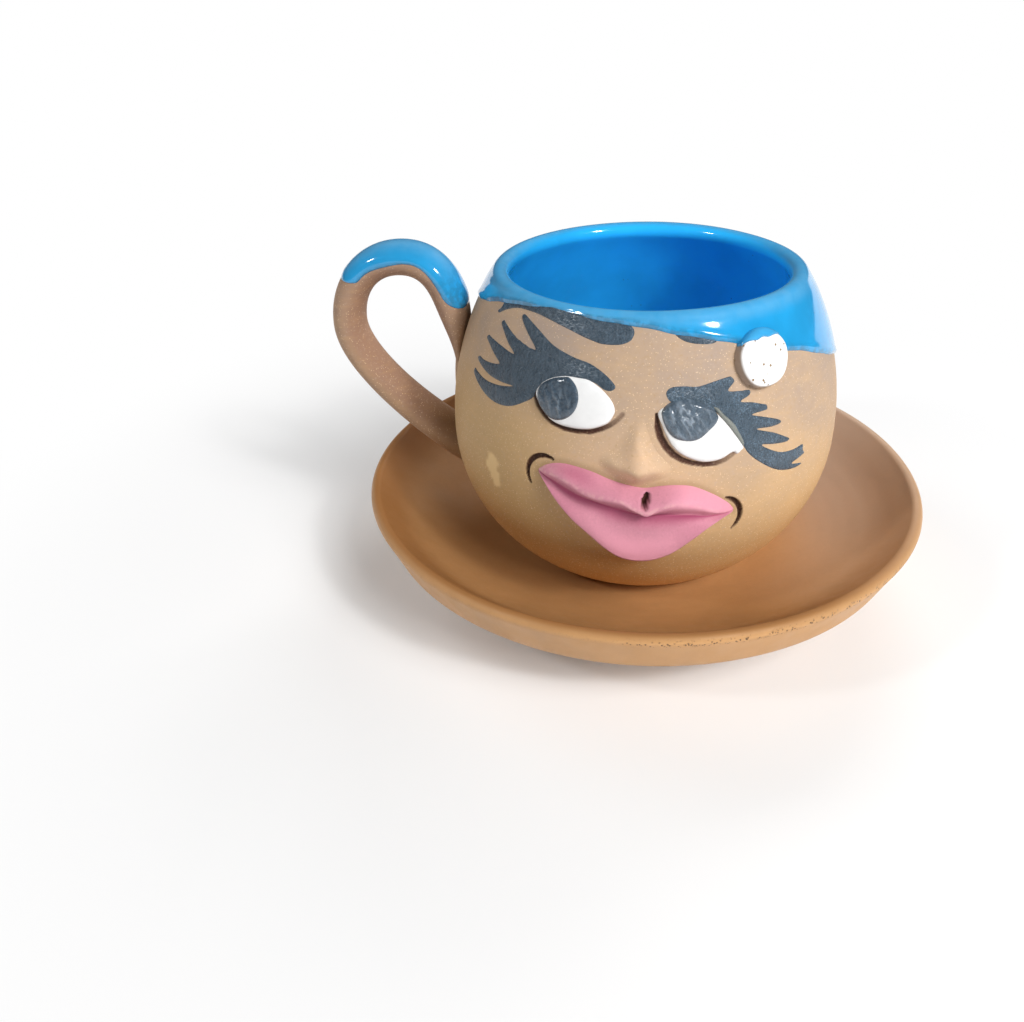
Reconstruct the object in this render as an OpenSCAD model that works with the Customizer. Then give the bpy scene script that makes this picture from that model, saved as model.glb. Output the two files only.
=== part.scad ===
// Small clay coffee cup with a modelled comic face, a looped strap handle and a blue dip glaze, on its saucer.
// Millimetres, +Z up. The saucer stands on z = 0, the face looks along -Y and the handle points along -X.

/* [Saucer] */
// Outside diameter of the saucer at its rim
saucer_d = 103; // [100:1:112]
// Height of the saucer's rim above the table
saucer_h = 18.5; // [17:0.5:20.5]
// Thickness of the saucer's sloping wall
saucer_wall = 4.6; // [4.2:0.1:5.2]
// Thickness of the saucer's floor under the cup
saucer_floor = 5; // [4.5:0.25:5.5]
// Diameter of the flat foot that stands on the table
saucer_foot_d = 60; // [54:1:66]
// Radius of the dish's hollow, seen in section
dish_curve = 45; // [40:1:60]

/* [Cup] */
// Height of the cup without its glaze
cup_h = 52.8; // [51:0.3:55.5]
// Widest diameter of the round belly
belly_d = 69; // [67:0.5:71]
// Height of the cup's rim above its widest place
shoulder_h = 28.2; // [27:0.3:29.4]
// Diameter of the flat foot
foot_d = 42; // [40:0.5:44]
// Diameter of the mouth, measured on the middle of the lip
mouth_d = 50; // [49:0.25:51]
// Thickness of the thrown wall
wall = 2.8; // [2.5:0.1:3.1]
// Thickness of the clay under the coffee
floor_t = 4; // [3.5:0.25:5]

/* [Glaze] */
// Thickness of the glaze coat
glaze_t = 0.35; // [0.3:0.05:0.5]
// Depth of the dip line below the rim, on the cup's axis
dip_drop = 10.7; // [9.8:0.3:11.9]
// Tilt of the dip line, in degrees
dip_tilt = 19.7; // [17:0.5:21]

/* [Handle] */
// Distance from the cup's axis to the strap's middle at its far side
handle_reach = 53.9; // [52:0.5:57]
// Width of the strap, across the loop
strap_w = 8.5; // [7.5:0.25:9.5]
// Thickness of the strap, in the plane of the loop
strap_t = 5.8; // [5.2:0.2:6.6]

/* [Face] */
// Thickness of the white, black and blue paint
paint_t = 0.35; // [0.25:0.05:0.5]
// How far the nose stands out of the wall
nose_out = 3.2; // [2.6:0.2:4]
// How far the lips stand out of the wall
lips_out = 4.2; // [3.4:0.2:5]
// Half the width of the mouth, in degrees round the cup
mouth_half = 25; // [23:0.5:26.5]
// Depth of the mouth's middle below the rim
mouth_drop = 25.4; // [24.8:0.2:26.6]
// Diameter of the clay button on the forehead
button_d = 8.8; // [8.2:0.2:9.6]
// How far the button stands out of the wall
button_out = 1.6; // [1.3:0.1:2]
// Depth of the lines pressed into the clay
line_depth = 0.7; // [0.5:0.1:1]

/* [Hidden] */
$fn = 180;

// Saucer, worked out
rim_bead = 1.15;
rim_r = saucer_d / 2 - rim_bead;
rim_z = saucer_h - rim_bead;
edge_lean = 0.44;
well_margin = 3;
well_r = foot_d / 2 + well_margin;
dish_chord = [rim_r - rim_bead - well_r, rim_z - saucer_floor];
dish_half = norm(dish_chord) / 2;
dish_drop = sqrt(dish_curve * dish_curve - dish_half * dish_half);
dish_c = [
    well_r + dish_chord[0] / 2 - dish_drop * dish_chord[1] / norm(dish_chord),
    saucer_floor + dish_chord[1] / 2 + dish_drop * dish_chord[0] / norm(dish_chord)
];

// Cup wall: one arc below the belly, one above, both centred on the belly's level
foot_z = saucer_floor;
belly_r = belly_d / 2;
foot_r = foot_d / 2;
mouth_r = mouth_d / 2;
rim_top = foot_z + cup_h;
belly_z = rim_top - shoulder_h;
belly_h = belly_z - foot_z;
lip_z = rim_top - wall / 2;
lip_rise = lip_z - belly_z;
low_c = (belly_r * belly_r - foot_r * foot_r - belly_h * belly_h) / (2 * (belly_r - foot_r));
low_r = belly_r - low_c;
mid_r = belly_r - wall / 2;
up_c = (mid_r * mid_r - mouth_r * mouth_r - lip_rise * lip_rise) / (2 * (mid_r - mouth_r));
up_r = belly_r - up_c;
lip_angle = asin(lip_rise / (mid_r - up_c));
floor_z = foot_z + floor_t;
floor_fillet = 8;
fillet_z = floor_z + floor_fillet;
fillet_run = low_r - wall - floor_fillet;
fillet_r = low_c + sqrt(fillet_run * fillet_run - pow(belly_z - fillet_z, 2));
fillet_top = belly_z - (belly_z - fillet_z) * (low_r - wall) / fillet_run;
far = 120;
seat = 1.2;
hair = 0.05;
lute = 0.02;

// Dip line: the direction in which it rises, counted from -Y towards -X
dip_turn = 23.8;

// Dark and light colours
clay = [0.70, 0.47, 0.31];
terracotta = [0.74, 0.42, 0.22];
blue = [0.07, 0.42, 0.72];
black = [0.13, 0.15, 0.18];
white = [0.93, 0.93, 0.92];
iris = [0.16, 0.20, 0.26];
pink = [0.72, 0.33, 0.40];

// Outside radius of the wall at a height, its lean there, and a point on or off it
function wall_c(z) = z < belly_z ? low_c : up_c;
function wall_arc(z) = z < belly_z ? low_r : up_r;
function wall_r(z) = wall_c(z) + sqrt(pow(wall_arc(z), 2) - pow(z - belly_z, 2));
function wall_lean(z) = asin((z - belly_z) / wall_arc(z));
function wall_point(turn, z, out) =
    let (r = wall_r(z) + out * cos(wall_lean(z)))
    [r * sin(turn), -r * cos(turn), z + out * sin(wall_lean(z))];

function level_point(turn, z, out) = [(wall_r(z) + out) * sin(turn), -(wall_r(z) + out) * cos(turn), z];

// Height at a depth below the rim, where the face and the handle are measured from
function below(depth) = rim_top - depth;

// Point on a curve through three or four poles
function bend3(a, b, c, t) = a * (1 - t) * (1 - t) + b * 2 * t * (1 - t) + c * t * t;
function bend4(p, t) =
    p[0] * pow(1 - t, 3) + p[1] * 3 * t * pow(1 - t, 2) + p[2] * 3 * t * t * (1 - t) + p[3] * pow(t, 3);
function bend4_dir(p, t) =
    let (d = (p[1] - p[0]) * pow(1 - t, 2) + (p[2] - p[1]) * 2 * t * (1 - t) + (p[3] - p[2]) * t * t)
    d / norm(d);

// Solid skinned over rings of equal point counts, closed by its first and last ring
module skin(rings) {
    count = len(rings[0]);
    last = len(rings) - 1;
    points = [for (ring = rings) each ring];
    sides = [for (i = [0:last - 1], k = [0:count - 1])
        let (m = (k + 1) % count, a = i * count)
        each [[a + k, a + m, a + count + m], [a + k, a + count + m, a + count + k]]];
    start = [for (k = [count - 1:-1:0]) k];
    end = [for (k = [0:count - 1]) last * count + k];
    polyhedron(points = points, faces = concat(sides, [start, end]), convexity = 6);
}

// Solid between two sheets of points with the same rows and columns
module slab(top, under) {
    rows = len(top) - 1;
    columns = len(top[0]);
    step = len(top) * columns;
    points = concat([for (row = top) each row], [for (row = under) each row]);
    skins = [for (i = [0:rows - 1], k = [0:columns - 2])
        let (a = i * columns + k, b = a + columns)
        each [[a, a + 1, b + 1], [a, b + 1, b],
            [step + a, step + b + 1, step + a + 1], [step + a, step + b, step + b + 1]]];
    ends = [for (k = [0:columns - 2])
        let (a = k, b = rows * columns + k)
        each [[a, step + a + 1, a + 1], [a, step + a, step + a + 1],
            [b, b + 1, step + b + 1], [b, step + b + 1, step + b]]];
    edges = [for (i = [0:rows - 1])
        let (a = i * columns, b = a + columns, c = a + columns - 1, d = c + columns)
        each [[a, b, step + b], [a, step + b, step + a], [c, step + d, d], [c, step + c, step + d]]];
    polyhedron(points = points, faces = concat(skins, ends, edges), convexity = 6);
}

// Section of the cup below the line across its lip, or a little over it where it is cut away
module under_lip(over = 0) {
    polygon([
        [0, 0],
        [far, 0],
        [far, belly_z + (far - up_c) * tan(lip_angle) + over],
        [0, belly_z - up_c * tan(lip_angle) + over]
    ]);
}

// Half section enclosed by an arc centred on the belly's level, filled in as far as the axis
module inside_arc(c, r) {
    translate([c, belly_z]) circle(r);
    translate([0, belly_z - r]) square([max(c, hair), 2 * r]);
}

// Half section of everything inside the outer wall moved out by a distance
module outer_section(out, over = 0) {
    intersection() {
        under_lip(over);
        union() {
            intersection() {
                inside_arc(low_c, low_r + out);
                translate([0, foot_z]) square([far, belly_h]);
            }
            intersection() {
                inside_arc(up_c, up_r + out);
                translate([0, belly_z]) square([far, far]);
            }
        }
    }
}

// Half section of the hollow, made smaller by a distance
module inner_section(in, over = 0) {
    intersection() {
        under_lip(over);
        union() {
            intersection() {
                inside_arc(low_c, low_r - wall - in);
                translate([0, fillet_top]) square([far, belly_z - fillet_top]);
            }
            intersection() {
                inside_arc(up_c, up_r - wall - in);
                translate([0, belly_z]) square([far, far]);
            }
            translate([0, floor_z + in]) square([fillet_r, fillet_top - floor_z - in]);
            intersection() {
                translate([fillet_r, fillet_z]) circle(floor_fillet - in);
                translate([fillet_r - hair, floor_z]) square([far, fillet_top - floor_z]);
            }
        }
    }
}

// Rounded lip, above the line across the wall
module lip_section(out) {
    difference() {
        translate([mouth_r, lip_z]) circle(wall / 2 + out);
        under_lip();
    }
}

// Glaze on the lip
module lip_coat() {
    difference() {
        lip_section(glaze_t);
        translate([mouth_r, lip_z]) circle(wall / 2);
    }
}

// Solid that the outer wall encloses, with or without a coat
module wall_solid(out = 0) {
    rotate_extrude() outer_section(out);
}

// Coat on the outer wall between two distances from it
module wall_coat(from, to) {
    rotate_extrude() {
        difference() {
            outer_section(to);
            outer_section(from, hair);
        }
    }
}

// Flat drawing laid on the wall at a turn and a height, cut out of a coat
module on_wall(turn, z, from, to) {
    intersection() {
        wall_coat(from, to);
        rotate([0, 0, turn]) translate([0, -wall_r(z), z]) rotate([90 - wall_lean(z), 0, 0])
            translate([0, 0, -14]) linear_extrude(20) children();
    }
}

// Everything above the tilted dip line, moved up by a distance
module dipped(up = 0) {
    translate([0, 0, below(dip_drop) + up]) rotate([0, 0, -dip_turn]) rotate([-dip_tilt, 0, 0])
        translate([-far, -far, 0]) cube([2 * far, 2 * far, far]);
}

// Outline made of bends, each given as [middle pole, end] and starting where the last one ended
module bent_outline(start, bends) {
    steps = 5;
    ends = concat([start], [for (bend = bends) bend[1]]);
    polygon([for (j = [0:len(bends) - 1], i = [1:steps]) bend3(ends[j], bends[j][0], bends[j][1], i / steps)]);
}

// Almond outline between two arcs that meet at its corners
function arc_over(w, h) = (w * w / 4 + h * h) / (2 * h);
module almond(w, up, low) {
    intersection() {
        translate([0, up - arc_over(w, up)]) circle(arc_over(w, up));
        translate([0, arc_over(w, low) - low]) circle(arc_over(w, low));
    }
}

// Part of a ring between two angles less than half a turn apart
module ring_part(r, w, from, to) {
    reach = 3 * r;
    mid = (from + to) / 2;
    intersection() {
        difference() {
            circle(r + w / 2);
            circle(r - w / 2);
        }
        polygon([
            [0, 0],
            [reach * cos(from), reach * sin(from)],
            [reach * cos(mid), reach * sin(mid)],
            [reach * cos(to), reach * sin(to)]
        ]);
    }
}

// Places of the two eyes
left_eye_turn = -17;
left_eye_z = below(11.8);
right_eye_turn = 15;
right_eye_z = below(14.3);

module left_eye_outline() {
    translate([-0.4, 0]) rotate(-2) almond(12.9, 3.3, 4.1);
}
module right_eye_outline() {
    translate([1, -0.8]) rotate(-31) almond(14.9, 3.4, 4.8);
}
module left_pupil_outline() {
    intersection() {
        left_eye_outline();
        translate([-3.1, -0.1]) circle(3.4);
    }
}
module right_pupil_outline() {
    intersection() {
        right_eye_outline();
        translate([-1.1, 0.3]) circle(3.9);
    }
}

// Lashes: the lid's thick edge with a fan of bent points, painted up to the eye's outline
module left_lash_outline() {
    difference() {
        bent_outline([-2, 0], [
            [[2, 0.6], [4.6, 1.6]],
            [[6.4, 2.5], [4.7, 3.7]],
            [[1.6, 5.9], [-4.7, 7.2]],
            [[-8.8, 8.1], [-11.5, 11.1]],
            [[-10.8, 8.3], [-8.7, 6.3]],
            [[-12.8, 7.2], [-15.8, 9.7]],
            [[-14.8, 7], [-12.3, 5]],
            [[-16.2, 5.1], [-18.8, 7.1]],
            [[-17.8, 4.5], [-15.1, 3.1]],
            [[-18.1, 2.4], [-20.4, 3.4]],
            [[-18.6, 0.9], [-12.4, 0.7]],
            [[-18, -0.1], [-20.9, 1.2]],
            [[-20.4, -2.2], [-15.5, -2.7]],
            [[-11, -3.6], [-7.2, -0.9]],
            [[-4.5, -0.5], [-2, 0]]
        ]);
        left_eye_outline();
    }
}
module right_lash_outline() {
    difference() {
        bent_outline([-1, 1.5], [
            [[-3, 2.4], [-4.7, 3.3]],
            [[-5.4, 4.8], [-3.4, 5.2]],
            [[-0.8, 5.8], [1.6, 5.1]],
            [[4, 5], [5.8, 6.3]],
            [[5.2, 5.1], [4.7, 4.2]],
            [[6.6, 4.2], [8.5, 3.9]],
            [[7.5, 3.1], [6.7, 2.3]],
            [[9.2, 2], [11.5, 1.2]],
            [[9.9, 0.5], [8.6, 0]],
            [[11.4, -0.3], [14, -1.3]],
            [[11.4, -1.7], [9.2, -2.1]],
            [[12.6, -2.7], [16, -4.5]],
            [[12.8, -4.4], [10.6, -4.5]],
            [[14.6, -5.6], [19.2, -6.9]],
            [[16.4, -7.1], [13.6, -6.4]],
            [[16.6, -8.2], [19.3, -9.2]],
            [[13.6, -10.7], [9.5, -6.6]],
            [[8.1, -5.2], [7, -3.7]],
            [[3, -1], [-1, 1.5]]
        ]);
        right_eye_outline();
    }
}

// Brows: painted up to the glaze, from a list of turns and lower edges
brow_steps = 24;
dip_gap = 0.12;
left_brow_low = [below(2.9), below(0.4), below(3.9), below(4)];
function dip_plane(r, turn) = below(dip_drop) + tan(dip_tilt) * r * cos(turn + dip_turn);
function dip_z(turn, z = belly_z, again = 8) =
    again == 0 ? z : dip_z(turn, dip_plane(wall_r(min(z, lip_z)), turn), again - 1);
function brow_row(turn, low, out) =
    let (columns = 4, high = dip_z(turn) - dip_gap)
    [for (k = [0:columns]) wall_point(turn, low + (high - low) * k / columns, out)];
module brow(edge) {
    slab(
        [for (e = edge) brow_row(e[0], e[1], paint_t)],
        [for (e = edge) brow_row(e[0], e[1], lute)]
    );
}

// Lips: edges as heights above a slanted line between the mouth's corners
mouth_slant = 2.6;
bow_place = -0.02;
bow_width = 0.3;
lip_gap = 0.12;
function mouth_line(t) = below(mouth_drop) - mouth_slant * t;
function seam(t) = -1.7 * pow(1 - t * t, 1.5);
function lip_top(t) =
    let (bow = 1.7 * exp(-pow((t - bow_place) / bow_width, 2)))
    3.2 * pow(1 - t * t, 0.6) + 1.1 * t * (1 - t * t) - bow + 0.25;
function lip_low(t) = -11.3 * (1 - pow(abs(t), 1.5)) - 0.35;
function lip_ring(t, from, to, out) =
    let (mid = mouth_line(t) + (from + to) / 2, half = (to - from) / 2, steps = 10)
    concat(
        [for (k = [0:steps])
            wall_point(mouth_half * t, mid + half * cos(180 * k / steps), lute + out * sin(180 * k / steps))],
        [for (k = [steps - 1:-1:1]) wall_point(mouth_half * t, mid + half * cos(180 * k / steps), lute)]
    );
lip_ends = 0.985;
lip_steps = 28;
function lip_t(i) = lip_ends * (2 * i / lip_steps - 1);

// Handle: middle line of the strap, in three bends, as distance from the axis and height
crown_z = rim_top + 0.2;
root_top = [wall_r(below(17)) - seat / 2, below(17)];
root_low = [wall_r(below(37.4)) - 2 * seat, below(37.4)];
crown = [handle_reach - 10.9, crown_z];
side_z = below(11.8);
handle_bends = [
    [root_top, root_top + [1.2, 9.3], crown - [7.8, 0], crown],
    [crown, crown + [6.5, 0], [handle_reach, side_z + 6.5], [handle_reach, side_z]],
    [[handle_reach, side_z], [handle_reach, side_z - 7.5], root_low + [11, 6.5], root_low]
];
handle_steps = 12;
root_flare = 0.18;
root_taper = 0.6;
function strap_mid(s) = bend4(handle_bends[min(floor(s), 2)], s - min(floor(s), 2));
function strap_dir(s) = bend4_dir(handle_bends[min(floor(s), 2)], s - min(floor(s), 2));
function strap_grow(s) = 1 + root_flare * (exp(-pow(s / 0.35, 2)) + exp(-pow((3 - s) / 0.45, 2)));
function strap_thin(s) = 1 - root_taper * exp(-pow(s / 0.25, 2));
function strap_point(s, a, out) =
    let (
        p = strap_mid(s),
        d = strap_dir(s),
        in_plane = (strap_t / 2 * strap_grow(s) * strap_thin(s) + out) * cos(a),
        across = (strap_w / 2 * strap_grow(s) + out) * sin(a)
    )
    [-(p[0] - d[1] * in_plane), across, p[1] + d[0] * in_plane];
strap_sides = 24;
coat_first = 5;
coat_last = 19;
coat_sides = 12;
coat_thin = 0.25;
function coat_t(i, k) =
    let (along = (i - coat_first) / (coat_last - coat_first), round = max(0, sin(180 * along) * sin(180 * k / coat_sides)))
    glaze_t * (coat_thin + (1 - coat_thin) * sqrt(round));
function coat_angle(k) = 180 * k / coat_sides - 90;
function coat_row(i, coated) =
    [for (k = [coat_sides:-1:0]) strap_point(i / handle_steps, coat_angle(k), coated ? coat_t(i, k) : lute)];

module handle_strap() {
    skin([for (i = [0:3 * handle_steps])
        [for (k = [strap_sides - 1:-1:0]) strap_point(i / handle_steps, 360 * k / strap_sides, 0)]]);
}
module handle_coat() {
    slab(
        [for (i = [coat_first:coat_last]) coat_row(i, true)],
        [for (i = [coat_first:coat_last]) coat_row(i, false)]
    );
}

// Clay button: a flat pellet with rounded edges, square to the wall
button_turn = 35.2;
button_z = below(6.95);
button_round = 0.7;
module button_pellet(more = 0) {
    rotate([0, 0, button_turn]) translate([0, -wall_r(button_z), button_z])
        rotate([90 - wall_lean(button_z), 0, 0]) rotate_extrude() {
            translate([0, -3]) square([button_d / 2 + more, 3 + button_out - button_round]);
            translate([0, -3]) square([button_d / 2 - button_round, 3 + button_out + more]);
            translate([button_d / 2 - button_round, button_out - button_round]) circle(button_round + more);
        }
}

// Lines pressed into the clay under the eyes and at the corners of the mouth
under_eye_gap = 0.9;
line_w = 0.9;
module pressed_lines() {
    on_wall(left_eye_turn, left_eye_z, -line_depth, 1)
        translate([-0.4, 0]) rotate(-2) translate([0, arc_over(12.9, 4.1) - 4.1])
            ring_part(arc_over(12.9, 4.1) + under_eye_gap, line_w, 206, 334);
    on_wall(right_eye_turn, right_eye_z, -line_depth, 1)
        translate([1, -0.8]) rotate(-31) translate([0, arc_over(14.9, 4.8) - 4.8])
            ring_part(arc_over(14.9, 4.8) + under_eye_gap, line_w, 206, 330);
    on_wall(-27, below(24.3), -line_depth, 1) translate([1.6, -0.2]) ring_part(3.3, line_w, 66, 218);
    on_wall(26, below(29.8), -line_depth, 1) translate([-2.3, -0.7]) ring_part(3.8, line_w, -44, 78);
}

module saucer() {
    color(terracotta) rotate_extrude() {
        difference() {
            union() {
                intersection() {
                    translate(dish_c) circle(dish_curve + saucer_wall);
                    polygon([[0, 0], [rim_r + rim_bead - edge_lean * rim_z, 0], [rim_r + rim_bead, rim_z], [0, rim_z]]);
                }
                square([saucer_foot_d / 2, saucer_floor]);
            }
            translate([0, saucer_floor]) square([well_r, far]);
            intersection() {
                translate(dish_c) circle(dish_curve);
                translate([0, saucer_floor]) square([far, far]);
            }
        }
        intersection() {
            translate([rim_r, rim_z]) circle(rim_bead);
            translate([0, rim_z]) square([far, far]);
        }
    }
}

module cup_body() {
    color(clay) difference() {
        rotate_extrude() {
            difference() {
                outer_section(0);
                inner_section(0, hair);
            }
            lip_section(0);
        }
        pressed_lines();
    }
}

module cup_glaze() {
    color(blue) {
        rotate_extrude() {
            difference() {
                inner_section(0);
                inner_section(glaze_t, hair);
            }
            intersection() {
                lip_coat();
                square([mouth_r, far]);
            }
        }
        difference() {
            intersection() {
                rotate_extrude() {
                    difference() {
                        outer_section(glaze_t);
                        outer_section(0, hair);
                    }
                    intersection() {
                        lip_coat();
                        translate([mouth_r, 0]) square([far, far]);
                    }
                }
                dipped();
            }
            button_pellet(glaze_t);
        }
    }
}

module handle() {
    color(clay) difference() {
        handle_strap();
        wall_solid();
    }
}

module handle_glaze() {
    color(blue) difference() {
        handle_coat();
        wall_solid(glaze_t);
    }
}

module nose() {
    steps = 14;
    around = 12;
    low = below(22.6);
    high = below(10.6);
    half_turn = 8.6;
    color(clay) skin([for (i = [0:steps])
        let (
            t = 0.02 + 0.97 * i / steps,
            z = low + (high - low) * t,
            fat = pow(sin(180 * pow(t, 0.42)), 0.7),
            half = half_turn * (0.22 * (1 - t) + 0.78 * fat),
            out = nose_out * fat + 0.15
        )
        concat(
            [for (k = [0:around])
                level_point(-half * cos(180 * k / around), z, lute + out * sin(180 * k / around))],
            [for (k = [around - 1:-1:1]) level_point(-half * cos(180 * k / around), z, lute)]
        )]);
}

module upper_lip() {
    color(pink) skin([for (i = [0:lip_steps])
        let (t = lip_t(i))
        lip_ring(t, seam(t) + lip_gap, lip_top(t), lips_out * 0.85 * pow(1 - t * t, 0.5))]);
}

module lower_lip() {
    color(pink) skin([for (i = [0:lip_steps])
        let (t = lip_t(i))
        lip_ring(t, lip_low(t), seam(t) - lip_gap, lips_out * pow(1 - t * t, 0.5))]);
}

module left_eye() {
    color(white) on_wall(left_eye_turn, left_eye_z, 0, paint_t) left_eye_outline();
}

module right_eye() {
    color(white) on_wall(right_eye_turn, right_eye_z, 0, paint_t) right_eye_outline();
}

module left_pupil() {
    color(iris) on_wall(left_eye_turn, left_eye_z, paint_t, 2 * paint_t) left_pupil_outline();
}

module right_pupil() {
    color(iris) on_wall(right_eye_turn, right_eye_z, paint_t, 2 * paint_t) right_pupil_outline();
}

module left_lashes() {
    color(black) on_wall(left_eye_turn, left_eye_z, 0, paint_t) left_lash_outline();
}

module right_lashes() {
    color(black) on_wall(right_eye_turn, right_eye_z, 0, paint_t) right_lash_outline();
}

module left_brow() {
    color(black) brow([for (i = [0:brow_steps])
        let (turn = -55.5 + 52.8 * i / brow_steps, head = max(0, (turn + 7.5) / 4.9))
        [turn, bend4(left_brow_low, i / brow_steps) + 1.6 * (1 - sqrt(1 - head * head))]]);
}

module right_brow() {
    color(black) brow([for (i = [0:brow_steps])
        let (turn = 9.5 + 12.5 * i / brow_steps)
        [turn, dip_z(turn) - dip_gap - 0.3 - 0.9 * sin(180 * i / brow_steps)]]);
}

module button() {
    color(white) difference() {
        button_pellet();
        wall_solid();
    }
}

module button_glaze() {
    color(blue) difference() {
        intersection() {
            button_pellet(glaze_t);
            dipped(1.4);
        }
        button_pellet();
        wall_solid();
    }
}

saucer();
cup_body();
cup_glaze();
handle();
handle_glaze();
nose();
upper_lip();
lower_lip();
left_eye();
right_eye();
left_pupil();
right_pupil();
left_lashes();
right_lashes();
left_brow();
right_brow();
button();
button_glaze();
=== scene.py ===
import math

import bpy
import bmesh
import numpy as np
from bpy.props import FloatProperty, FloatVectorProperty, PointerProperty
from mathutils import Matrix, Vector, noise
from mathutils.geometry import delaunay_2d_cdt


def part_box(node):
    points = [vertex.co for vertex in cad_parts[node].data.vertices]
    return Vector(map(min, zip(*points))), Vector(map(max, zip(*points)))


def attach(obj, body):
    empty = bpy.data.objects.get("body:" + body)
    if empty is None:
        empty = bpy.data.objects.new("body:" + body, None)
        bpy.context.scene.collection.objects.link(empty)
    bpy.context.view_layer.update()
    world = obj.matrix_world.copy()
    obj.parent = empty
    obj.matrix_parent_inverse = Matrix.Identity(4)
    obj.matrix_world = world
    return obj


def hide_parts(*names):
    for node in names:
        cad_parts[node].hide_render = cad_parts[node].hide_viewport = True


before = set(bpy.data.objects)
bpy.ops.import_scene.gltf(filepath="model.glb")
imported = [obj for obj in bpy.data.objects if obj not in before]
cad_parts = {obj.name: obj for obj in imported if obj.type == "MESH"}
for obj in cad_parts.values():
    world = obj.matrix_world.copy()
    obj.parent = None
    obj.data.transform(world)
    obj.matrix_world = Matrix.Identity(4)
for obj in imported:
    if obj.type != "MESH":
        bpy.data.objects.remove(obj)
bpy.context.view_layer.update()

bl_info = {
    "name": "Clay face cup",
    "version": (1, 0, 0),
    "blender": (4, 5, 0),
    "location": "View3D > Sidebar > Clay cup",
    "description": "Hand-built clay cup with a modelled face, a dip glaze and a saucer",
    "category": "Add Mesh",
}

# The builders below work in millimetres, and mesh_object turns them into metres
MM = 0.001

# Radius below which a row of a turned section is one point on the axis
ON_AXIS = 1e-6
# How far the under side of a coat lies below the face that carries it
TUCK = 0.1


def length(name, description, default):
    return FloatProperty(name=name, description=description, default=default, min=0.0, unit="LENGTH",
                         precision=5)


def angle(name, description, default):
    return FloatProperty(name=name, description=description, default=math.radians(default), subtype="ANGLE")


def colour(name, description, default):
    return FloatVectorProperty(name=name, description=description, default=default, size=3, min=0.0, max=1.0,
                               subtype="COLOR")


def strength(name, description, default):
    return FloatProperty(name=name, description=description, default=default, min=0.0)


class CupSizes(bpy.types.PropertyGroup):
    foot_height: length("Foot height", "Height of the cup's foot above the table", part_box("cup_body")[0][2])
    height: length("Height", "Height of the cup without its glaze", 0.0528)
    belly: length("Belly", "Widest diameter of the round belly", 0.069)
    shoulder: length("Shoulder", "Height of the rim above the widest place", 0.0282)
    foot: length("Foot", "Diameter of the flat foot", 0.042)
    mouth: length("Mouth", "Diameter of the mouth on the middle of the lip", 0.050)
    wall: length("Wall", "Thickness of the thrown wall", 0.0028)
    floor: length("Floor", "Thickness of the clay under the coffee", 0.004)
    fillet: length("Floor fillet", "Radius between the hollow's floor and its wall", 0.008)
    uneven: length("Unevenness", "How far the hand-made wall strays from true", 0.0001)


class GlazeSizes(bpy.types.PropertyGroup):
    thickness: length("Thickness", "Thickness of the glaze coat", 0.00035)
    dip_drop: length("Dip drop", "Depth of the dip line below the rim on the axis", 0.0107)
    dip_tilt: angle("Dip tilt", "Tilt of the dip line", 19.7)
    dip_turn: angle("Dip turn", "Direction in which the dip line rises, from front to handle", 23.8)
    wave: length("Wave", "How far the dip line wanders", 0.00025)


class HandleSizes(bpy.types.PropertyGroup):
    reach: length("Reach", "Distance from the cup's axis to the strap's middle at its far side", 0.0539)
    width: length("Strap width", "Width of the strap across the loop", 0.0085)
    thickness: length("Strap thickness", "Thickness of the strap in the plane of the loop", 0.0058)


class SaucerSizes(bpy.types.PropertyGroup):
    diameter: length("Diameter", "Outside diameter at the rim", 0.103)
    height: length("Height", "Height of the rim above the table", 0.0185)
    wall: length("Wall", "Thickness of the sloping wall", 0.0046)
    floor: length("Floor", "Thickness of the floor under the cup", 0.005)
    foot: length("Foot", "Diameter of the flat foot", 0.060)
    curve: length("Dish curve", "Radius of the hollow seen in section", 0.045)
    bead: length("Rim bead", "Radius of the rounded rim", 0.00115)


class FaceSizes(bpy.types.PropertyGroup):
    paint: length("Paint", "Thickness of the painted strokes", 0.0003)
    nose_out: length("Nose", "How far the nose stands out of the wall", 0.0032)
    lips_out: length("Lips", "How far the lips stand out of the wall", 0.0042)
    button: length("Button", "Diameter of the clay button on the forehead", 0.0088)
    button_out: length("Button height", "How far the button stands out of the wall", 0.0016)
    line_depth: length("Line depth", "Depth of the lines pressed into the clay", 0.0007)
    line_width: length("Line width", "Width of the lines pressed into the clay", 0.0009)


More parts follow.
